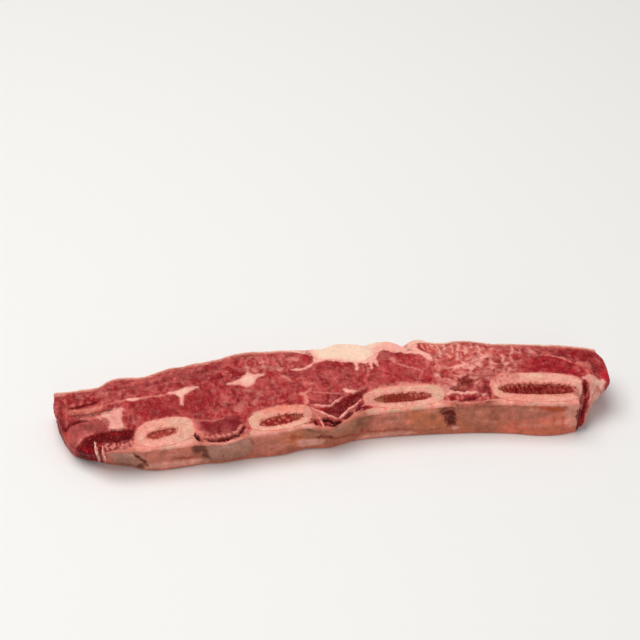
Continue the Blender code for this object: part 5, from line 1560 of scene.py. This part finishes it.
@dataclass
class ChestLining:
    """The skin over the ribs' inner side: the strip's front face and its pale upper edge."""

    wrap: Wrap = Wrap(columns=520, top=14, back=6, bottom=8, front=56, cap=8, crowding=0.25)
    rims: Triple = (0.0009, 0.0004, 0.0006)
    bulge: float = 0.0005
    socket_margin: float = 0.0006
    socket_depth: float = 0.0026
    lip_waves: Waves = ((0.0003, 2.2, 51, 1), (0.0002, 0.9, 52, 1))

    def rib_share(self, x: Array) -> Array:
        """1 in front of a rib and 0 between two."""
        share = np.zeros_like(x)
        for rib in PLAN.ribs:
            away = np.abs(x - rib.ring.centre[0]) / rib.ring.half_long
            share = np.maximum(share, 1.0 - smooth_step(0.75, 1.15, away))
        return share

    def build(self) -> list[Piece]:
        """The skin, which bulges over the ribs and sinks between them."""
        along, across, up = self.wrap.shares()
        low, high = PLAN.lining_span
        x = low + (high - low) * along
        over_rib = self.rib_share(x)
        lift = np.sin(math.pi * share_of(up))
        near = PLAN.bone_side(x) - self.bulge * (1.4 * over_rib - 0.7) * lift
        far = PLAN.bone_side(x) + PLAN.lining_thick(x)
        y = near + (far - near) * across
        plan = np.stack([x, y], axis=-1)
        drop = rims_drop(self.rims, y - near, far - y, np.minimum(x - low, high - x))
        sunk = np.minimum(LIP.on(plan * MM).relief, 0.0)
        deep = self.socket_depth * PLAN.socket(plan, self.socket_margin)
        top = PLAN.cut_height(plan) + uneven(plan, self.lip_waves) + sunk - drop - deep
        points = PLAN.stand(plan, drop, top, up)
        seen = np.stack([x, points[..., 2] + points[..., 1] - PLAN.bone_side(x)], axis=-1) * MM
        coat = FRONT_FACE.on(seen)
        outer = (across < 0.02) * share_of(4.0 * np.minimum(up, 1.0 - up))
        creases = 0.00022 * rough(seen * (1.0, 0.35), 3.2, 53)
        points[..., 1] -= outer * (coat.relief + creases)
        lip = self.lip_tint(plan, across, over_rib)
        tint = blend(coat.tint, lip, smooth_step(0.955, 0.995, up))
        foot = 0.45 * (1.0 - smooth_step(0.0, 0.10, up))
        tint = SALMON.over(tint, foot * share_of(0.6 + swell(seen, 6.0, 55)))
        piece = Loops(points, tint, coat.fat).build("chest_skin", Finish.LINING)
        return [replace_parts(piece, "chest_lining")]

    def lip_tint(self, plan: Array, across: Array, over_rib: Array) -> Array:
        """The upper edge's colours: bone by a rib, and between two it passes into the lean.

        Args:
            plan: Its places in plan.
            across: The share of the way from the strip's front to the lining's back.
            over_rib: How much of a rib is behind each place.

        Returns:
            The colours.
        """
        places = plan * MM
        bony = BONE_PINK.over(BONE.colour, smooth_step(-0.2, 0.5, rough(places, 4.0, 54)))
        bony = BONE_TAN.over(bony, smooth_step(0.1, 0.6, rough(places, 6.0, 56)))
        inward = smooth_step(0.40, 0.85, across + 0.10 * swell(places, 2.0, 57))
        soft = blend(LIP.on(places).tint, CUT_FACE.on(places).tint, inward)
        patchy = 1.0 - 0.35 * share_of(swell(places, 2.5, 58))
        return blend(soft, bony, over_rib * patchy)


@dataclass
class OuterFat:
    """The rind of fat along the strip's outer side, with the thick wedge near its middle."""

    wrap: Wrap = Wrap(columns=520, top=36, back=32, bottom=14, front=4, cap=8, crowding=0.3)
    rims: Triple = (0.0002, 0.0007, 0.0012)
    # The middle, half width and depth of each notch in the wedge's outer edge.
    notches: tuple[Triple, ...] = (
        (0.0366, 0.0016, 0.0013), (0.0172, 0.0022, 0.0012), (-0.0040, 0.0030, 0.0004),
    )
    proud: float = 0.0003
    # The rind passes from see-through to pale between these thicknesses.
    thin_span: Pair = (0.002, 0.006)
    lump_waves: Waves = ((0.0001, 2.0, 62, 1),)
    wall_waves: Waves = ((0.0004, 9.0, 65, 3),)
    lobe_depth: float = 0.0007
    lobe_size: float = 5.2

    def build(self) -> list[Piece]:
        """The rind: pale where it's thick, and reddish where it's thin enough to see through."""
        along, across, up = self.wrap.shares()
        low, high = PLAN.left_end(np.ones_like(up)), PLAN.right_end(np.ones_like(up), up)
        x = low + (high - low) * along
        thick = PLAN.fat_thick(x)
        far = PLAN.outer_side(x)
        near = far - thick
        for middle, half, deep in self.notches:
            far = far - deep * np.exp(-(((x - middle) / half) ** 2))
        y = near + (far - near) * across
        plan = np.stack([x, y], axis=-1)
        coat = CUT_FACE.on(plan * MM)
        drop = rims_drop(self.rims, y - near, far - y, np.minimum(x - low, high - x))
        lumps = PLAN.bumps(plan) + uneven(plan, self.lump_waves) + self.proud
        top = PLAN.cut_height(plan) + lumps + 0.5 * np.maximum(coat.relief, 0.0) - drop
        points = PLAN.stand(plan, drop, top, up)
        back = (across > 0.98) * share_of(4.0 * np.minimum(up, 1.0 - up))
        wall = np.stack([x, points[..., 2]], axis=-1) * MM
        bent = wall * (0.55, 1.0) + 0.6 * rough(points * MM, 4.0, 63)[..., None]
        lobes = self.lobe_depth * (0.6 - pits(bent, self.lobe_size, 64))
        points[..., 1] += back * (lobes + uneven(points, self.wall_waves))
        is_thin = 1.0 - smooth_step(*self.thin_span, thick)
        lean_behind = smooth_step(0.0, 0.7, rough(wall * (0.5, 1.0), 7.0, 66) + 0.25)
        skin = CREAM.over(PINK_FAT.colour, 1.0 - is_thin)
        skin = ROSE.over(skin, 0.60 * lean_behind * is_thin)
        patches = np.clip(0.90 + 0.5 * swell(plan * MM, 5.0, 68), 0.45, 1.0)
        creamy = 0.5 * smooth_step(0.0, 0.6, swell(plan * MM, 9.0, 67))
        edge_line = CREAM.over(PALE_PINK.colour, creamy)
        upper = blend(coat.tint, edge_line, is_thin * patches)
        tint = blend(upper, skin, smooth_step(0.85, 1.0, across) * (up < 0.97))
        piece = Loops(points, tint, np.ones_like(up)).build("outer_fat", Finish.FAT)
        return [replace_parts(piece, "fat_cap")]


@dataclass
class Bones:
    """The four sawn ribs: hard rings, and the spongy cores inside them."""

    ring_points: int = 320
    core_points: int = 240
    hard_rows: tuple[int, int, int, int] = (22, 16, 10, 8)
    core_rows: Rows = (34, 8, 16)
    core_reach: float = 1.05
    corner: float = 0.0004
    # How high a ring's cut face is crowned, and the width of wall that takes all of it.
    crown: float = 0.00015
    crown_wall: float = 0.004
    grit: Waves = ((0.00010, 1.1, 82, 1), (0.00016, 3.0, 83, 1))
    recess: float = 0.0006
    pit_depth: float = 0.00055
    core_paints: tuple[Paint, ...] = (CORE_PINK, CORE_RED, CORE_BROWN, CORE_DEEP)

    def ring_profile(self) -> tuple[Array, Array]:
        """The ring's section: share of the way from its hole outwards, and share of the way up."""
        top, outer, bottom, inner = self.hard_rows
        t = [np.arange(count) / count for count in (top, outer, bottom, inner)]
        eased = 0.5 - 0.5 * np.cos(math.pi * t[0])
        width = np.concatenate([eased, np.ones(outer), 1.0 - t[2], np.zeros(inner)])
        height = np.concatenate([np.ones(top), 1.0 - t[1], np.zeros(bottom), t[3]])
        return width, height

    @staticmethod
    def wandering(outline: Array, centre: Array, waves: Waves) -> Array:
        """An outline, each of its points moved away from the centre by waves of noise."""
        arm = outline - centre
        way = arm / np.linalg.norm(arm, axis=1, keepdims=True)
        return outline + way * uneven(outline, waves)[:, None]

    def ring(self, number: int, rib: Rib) -> Piece:
        """One hard ring.

        The ring's points lie between its hole and its outline, hole + (outline - hole) * width,
        where both wander by noise. Its cut face is slightly crowned and its corners rounded.

        Args:
            number: The rib's number, from the left.
            rib: Its outlines.

        Returns:
            The piece.
        """
        centre = np.array(rib.core.centre)
        soft = ((0.0005, 5.0, 70 + number, 1), (0.00022, 1.8, 71, 1))
        outer = self.wandering(rib.ring.outline(self.ring_points), centre, soft)
        ragged = ((0.0004, 1.6, 74 + number, 1), (0.00035, 0.7, 78 + number, 1))
        inner = self.wandering(rib.core.outline(self.ring_points), centre, ragged)
        width, height = self.ring_profile()
        plan = inner[:, None, :] + (outer - inner)[:, None, :] * width[None, :, None]
        up = np.broadcast_to(height, plan.shape[:-1])
        width = np.broadcast_to(width, up.shape)
        wall = np.linalg.norm(outer - inner, axis=1)[:, None]
        drop = rims_drop((self.corner, self.corner), (1.0 - width) * wall, width * wall)
        crown = self.crown * np.sin(math.pi * width) * np.minimum(1.0, wall / self.crown_wall)
        top = PLAN.cut_height(plan) + PLAN.proud - drop + crown + uneven(plan, self.grit)
        points = PLAN.stand(plan, drop, top, up)
        piece = Loops(points, *self.ring_coat(plan, width, wall), ring=True)
        made = piece.build(f"rib_ring_{number}", Finish.BONE)
        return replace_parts(made, f"rib_bone_{number}")

    def ring_coat(self, plan: Array, width: Array, wall: Array) -> tuple[Array, Array]:
        """A ring's colours: cream, pink towards its outline, and dark specks round its hole.

        Args:
            plan: Its points in plan.
            width: Their share of the way from the hole outwards.
            wall: The ring's width there.

        Returns:
            The colour and the share of fat.
        """
        places = plan * MM
        inward, outward = width * wall, (1.0 - width) * wall
        turn = np.arange(self.ring_points)[:, None] * np.ones_like(width)
        hatch = swell(np.stack([turn * 0.8, inward * MM * 0.5], axis=-1), 1.6, 84)
        tint = np.broadcast_to(BONE.colour, (*width.shape, 3))
        above = smooth_step(-0.1, 0.4, (plan[..., 1] - plan[..., 1].mean()) / 0.008)
        at_rim = 1.0 - smooth_step(0.0002, 0.0018, outward + 0.0004 * hatch)
        at_hole = 1.0 - smooth_step(0.0003, 0.0017, inward)
        for paint, amount in (
            (BONE_TAN, 0.5 * smooth_step(0.0, 0.6, rough(places, 9.0, 85))),
            (BONE_YELLOW, 0.35 * smooth_step(0.1, 0.6, rough(places, 6.0, 86))),
            (BONE_PINK, 0.55 * smooth_step(-0.1, 0.6, rough(places, 5.0, 87))),
            (BONE_PINK, 0.8 * above * at_rim),
            (SPICULE, 0.80 * (1.0 - smooth_step(0.0002, 0.0022, inward + 0.0008 * hatch))),
            (CORE_RED, 0.9 * smooth_step(-0.1, 0.35, swell(places, 1.3, 88)) * at_hole),
        ):
            tint = paint.over(tint, amount)
        tint = RING_FACE.over(places, tint)
        light = 1.0 + 0.12 * rough(places, 2.0, 89) + 0.08 * hatch
        return tint * light[..., None], np.ones_like(width)

    def core(self, number: int, rib: Rib) -> Piece:
        """One spongy core, whose ends are pitted between thin struts of bone.

        Its loops are the hole's outline shrunk towards the centre over the top, carried down the
        wall, and shrunk again underneath.

        Args:
            number: The rib's number, from the left.
            rib: Its outlines.

        Returns:
            The piece.
        """
        shrink, up = plug_rows(self.core_rows, (0.002, 0.04), 0.5, 0.05)
        outline, centre = rib.core.outline(self.core_points), np.array(rib.core.centre)
        plan = centre + (outline - centre)[None, :, :] * (self.core_reach * shrink)[:, None, None]
        up = np.broadcast_to(up[:, None], plan.shape[:-1])
        c, s = rib.core.facing
        places = plan @ np.array([[c, -s], [s, c]]) * MM * (1.0, 0.34)
        holes = pits(places + 0.30 * swell(plan * MM, 1.1, 91)[..., None], 0.85, 92 + number)
        strut = smooth_step(0.40, 0.90, holes)
        rim = smooth_step(0.70, 1.0, np.broadcast_to(shrink[:, None], up.shape))
        sunk = self.recess * (1.0 - 0.6 * rim) + self.pit_depth * (1.0 - strut)
        points = PLAN.stand(plan, 0.5 * sunk, PLAN.cut_height(plan) + PLAN.proud - sunk, up)
        deep = self.core_paints[number - 1].colour
        lively = np.clip(0.45 + 0.8 * swell(plan * MM, 2.6, 97), 0.05, 1.0)
        tint = SPICULE.over(deep, 0.85 * strut * lively)
        patchy = smooth_step(-0.3, 0.3, swell(plan * MM, 1.6, 98))
        tint = SPICULE.over(tint, 0.60 * rim * patchy)
        tint = CORE_FACE.over(plan * MM, tint)
        made = Loops(points, tint, strut).build(f"rib_sponge_{number}", Finish.MARROW)
        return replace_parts(made, f"bone_core_{number}")

    def build(self) -> list[Piece]:
        """Every ring and core."""
        made = []
        for number, rib in enumerate(PLAN.ribs, start=1):
            made += [self.ring(number, rib), self.core(number, rib)]
        return made


@dataclass
class FatSeams:
    """The three thick seams of fat that run down through the lean."""

    middles: Knots = mm(-113, -4.5, -78.2, 6.2, -44.5, 11.2)
    rows: Rows = (22, 8, 12)
    # How far a seam's top dives at its outline, and how far in that reaches.
    dive: float = 0.0005
    dive_reach: float = 0.0010
    foot: float = 0.0002
    proud: float = 0.0001
    soft_waves: Waves = ((0.00012, 1.0, 102, 1),)

    @staticmethod
    def outlines() -> list[Array]:
        """The seams' closed outlines in plan."""
        return [smooth_path(np.array(seam), True) for seam in PLAN.seams]

    def build(self) -> list[Piece]:
        """Each seam as its outline shrunk towards its middle, over the top, down and under.

        Near its outline the top dives under the lean, so that the two meet along an uneven line.
        """
        shrink, height = plug_rows(self.rows, (0.05, 0.05), 1.0, 0.08)
        made = []
        for number, seam in enumerate(self.outlines(), start=1):
            fine = smooth_path(seam, True, 4)
            middle = np.array(self.middles[number - 1])
            plan = middle + (fine - middle)[None, :, :] * shrink[:, None, None]
            up = np.broadcast_to(height[:, None], plan.shape[:-1])
            coat = CUT_FACE.on(plan * MM)
            depth = -distance_outside(plan, seam)
            dive = self.dive * (1.0 - smooth_step(0.0, self.dive_reach, depth))
            soft = PLAN.bumps(plan) + uneven(plan, self.soft_waves)
            top = PLAN.cut_height(plan) + soft + coat.relief + self.proud - dive
            points = PLAN.stand(plan, self.foot + dive, top, up)
            piece = Loops(points, coat.tint, coat.fat).build(f"fat_seam_{number}", Finish.FAT)
            made.append(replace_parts(piece, f"seam_fat_{number}"))
        return made


@dataclass
class Strands:
    """The two white strands that run over the strip's edge, near its thin end."""

    # Each strand's x at its start and end, how far in from the edge it starts, and its half width.
    runs: tuple[tuple[float, float, float, float], ...] = (
        (-0.1232, -0.1214, 0.0082, 0.00050), (-0.1192, -0.1188, 0.0052, 0.00045),
    )
    steps: int = 120
    sides: int = 10
    foot: float = 0.0060
    turn: float = 0.42
    edge_radius: float = 0.0016

    def path(self, start: float, end: float, inward: float) -> Array:
        """The strand's line: along the cut to the edge, round it, and down the wall to its foot."""
        t = np.linspace(0.0, 1.0, self.steps)
        sway = 0.00035 * swell(np.stack([t * 12.0, t * 0.0], axis=-1), 2.0, 111)
        x = start + (end - start) * t + sway
        to_edge = share_of((self.turn - t) / self.turn) * inward
        plan = np.stack([x, PLAN.bone_side(x) + to_edge], axis=-1)
        top = PLAN.cut_height(plan) - rim_drop(to_edge, self.edge_radius)
        past_edge = share_of((t - self.turn) / (1.0 - self.turn))
        down = smooth_step(self.turn, 1.0, t) * 0.5 + past_edge * 0.5
        return PLAN.stand(plan, top, self.foot, down)

    def build(self) -> list[Piece]:
        """Each strand as a tube round its line, thin at both ends and half sunk in the meat."""
        made = []
        for number, (start, end, inward, half) in enumerate(self.runs, start=1):
            middle = self.path(start, end, inward)
            way = np.gradient(middle, axis=0)
            way /= np.linalg.norm(way, axis=1, keepdims=True)
            across = np.cross(way, np.array([1.0, 0.0, 0.0]))
            across /= np.linalg.norm(across, axis=1, keepdims=True)
            side = np.cross(way, across)
            t = np.linspace(0.0, 1.0, self.steps)
            knobbly = 1.0 + 0.25 * swell(np.stack([t * 30.0, t * 0.0], axis=-1), 2.0, 112 + number)
            size = half * np.sqrt(np.clip(4.0 * t * (1.0 - t), 0.02, 1.0)) * knobbly
            angle = np.linspace(0.0, 2.0 * math.pi, self.sides, endpoint=False)
            points = (
                middle[:, None, :]
                + size[:, None, None] * np.cos(angle)[None, :, None] * side[:, None, :]
                + 0.7 * size[:, None, None] * np.sin(angle)[None, :, None] * across[:, None, :]
            )
            shape = points.shape[:2]
            tint = np.broadcast_to(FAT_LINE.colour, (*shape, 3))
            tint = CREAM.over(tint, np.clip(0.4 + swell(points * MM, 2.0, 115), 0.0, 0.85))
            made.append(Loops(points, tint, np.ones(shape)).build(f"strand_{number}", Finish.FAT))
        return made


@dataclass
class Studio:
    """The floor, the lights and the camera."""

    target: Triple = (-0.0015, -0.003, 0.01)
    azimuth: float = -7.0
    elevation: float = 45.0
    distance: float = 0.9
    metres_a_pixel: float = 0.51e-3
    image_size: float = 640.0
    aim_right: float = 15.0
    aim_down: float = 85.0
    sensor: float = 36.0
    floor_size: float = 6.0
    floor_z: float = -0.0001

    def camera(self) -> None:
        """The camera: on its arm from the target, then turned so that the target is off centre."""
        a, e = math.radians(self.azimuth), math.radians(self.elevation)
        back = Vector((math.sin(a) * math.cos(e), -math.cos(a) * math.cos(e), math.sin(e)))
        focal = self.distance / self.metres_a_pixel
        data = bpy.data.cameras.new("camera")
        data.sensor_width = self.sensor
        data.lens = focal * self.sensor / self.image_size
        camera = placed("camera", data)
        eye = Vector(self.target) + Vector(PLAN_TO_FRAME) + back * self.distance
        aim = (-back).to_track_quat("-Z", "Y").to_matrix().to_4x4()
        tip = Matrix.Rotation(math.atan(self.aim_down / focal), 4, "X")
        swing = Matrix.Rotation(math.atan(self.aim_right / focal), 4, "Y")
        camera.matrix_world = Matrix.Translation(eye) @ aim @ tip @ swing
        bpy.context.scene.camera = camera

    def lamp(self, name: str, place: Triple, size: float, power: float, colour: Triple) -> None:
        """A square soft box that faces the strip.

        Args:
            name: Its name.
            place: Where it stands, in metres.
            size: Its side.
            power: Its power, in watts.
            colour: Its colour.
        """
        data = bpy.data.lights.new(name, "AREA")
        data.size = size
        data.energy = power
        data.color = colour
        lamp = placed(name, data)
        lamp.location = place
        lamp.rotation_mode = "QUATERNION"
        lamp.rotation_quaternion = (-Vector(place)).to_track_quat("-Z", "Y")

    def floor(self) -> None:
        """A plain pale floor, just under the strip."""
        half = self.floor_size / 2.0
        mesh = bpy.data.meshes.new("floor")
        corners = ((-half, -half), (half, -half), (half, half), (-half, half))
        mesh.from_pydata([(x, y, self.floor_z) for x, y in corners], [], [range(4)])
        board = Board("pale_floor")
        grain = board.spread(board.noise(0.004), *USUAL, 0.60, 0.66)
        board.feed(board.shader, {"Base Color": (0.93, 0.93, 0.92, 1.0), "Roughness": grain})
        mesh.materials.append(board.material)
        placed("floor", mesh)

    def build(self) -> None:
        """The whole studio."""
        self.camera()
        self.floor()
        self.lamp("key", (-0.35, 0.12, 1.4), 1.1, 15.5, (1.0, 0.99, 0.97))
        self.lamp("front", (0.25, -1.4, 0.55), 0.9, 2.6, (1.0, 0.97, 0.95))
        world = bpy.data.worlds.new("soft_light")
        world.use_nodes = True
        sky = world.node_tree.nodes["Background"]
        sky.inputs["Color"].default_value = (1.0, 0.99, 0.98, 1.0)
        sky.inputs["Strength"].default_value = 0.34
        bpy.context.scene.world = world
        bpy.context.scene.view_settings.view_transform = "Standard"


def main() -> None:
    """Builds the strip's sub-assemblies and the studio, and reports each piece."""
    logging.basicConfig(level=logging.INFO, format="%(message)s")
    for assembly in (LeanSlab(), ChestLining(), OuterFat(), Bones(), FatSeams(), Strands()):
        for piece in assembly.build():
            LOG.info("%s: %d faces", piece.name, len(piece.data.polygons))
    Studio().build()


if __name__ == "__main__":
    main()
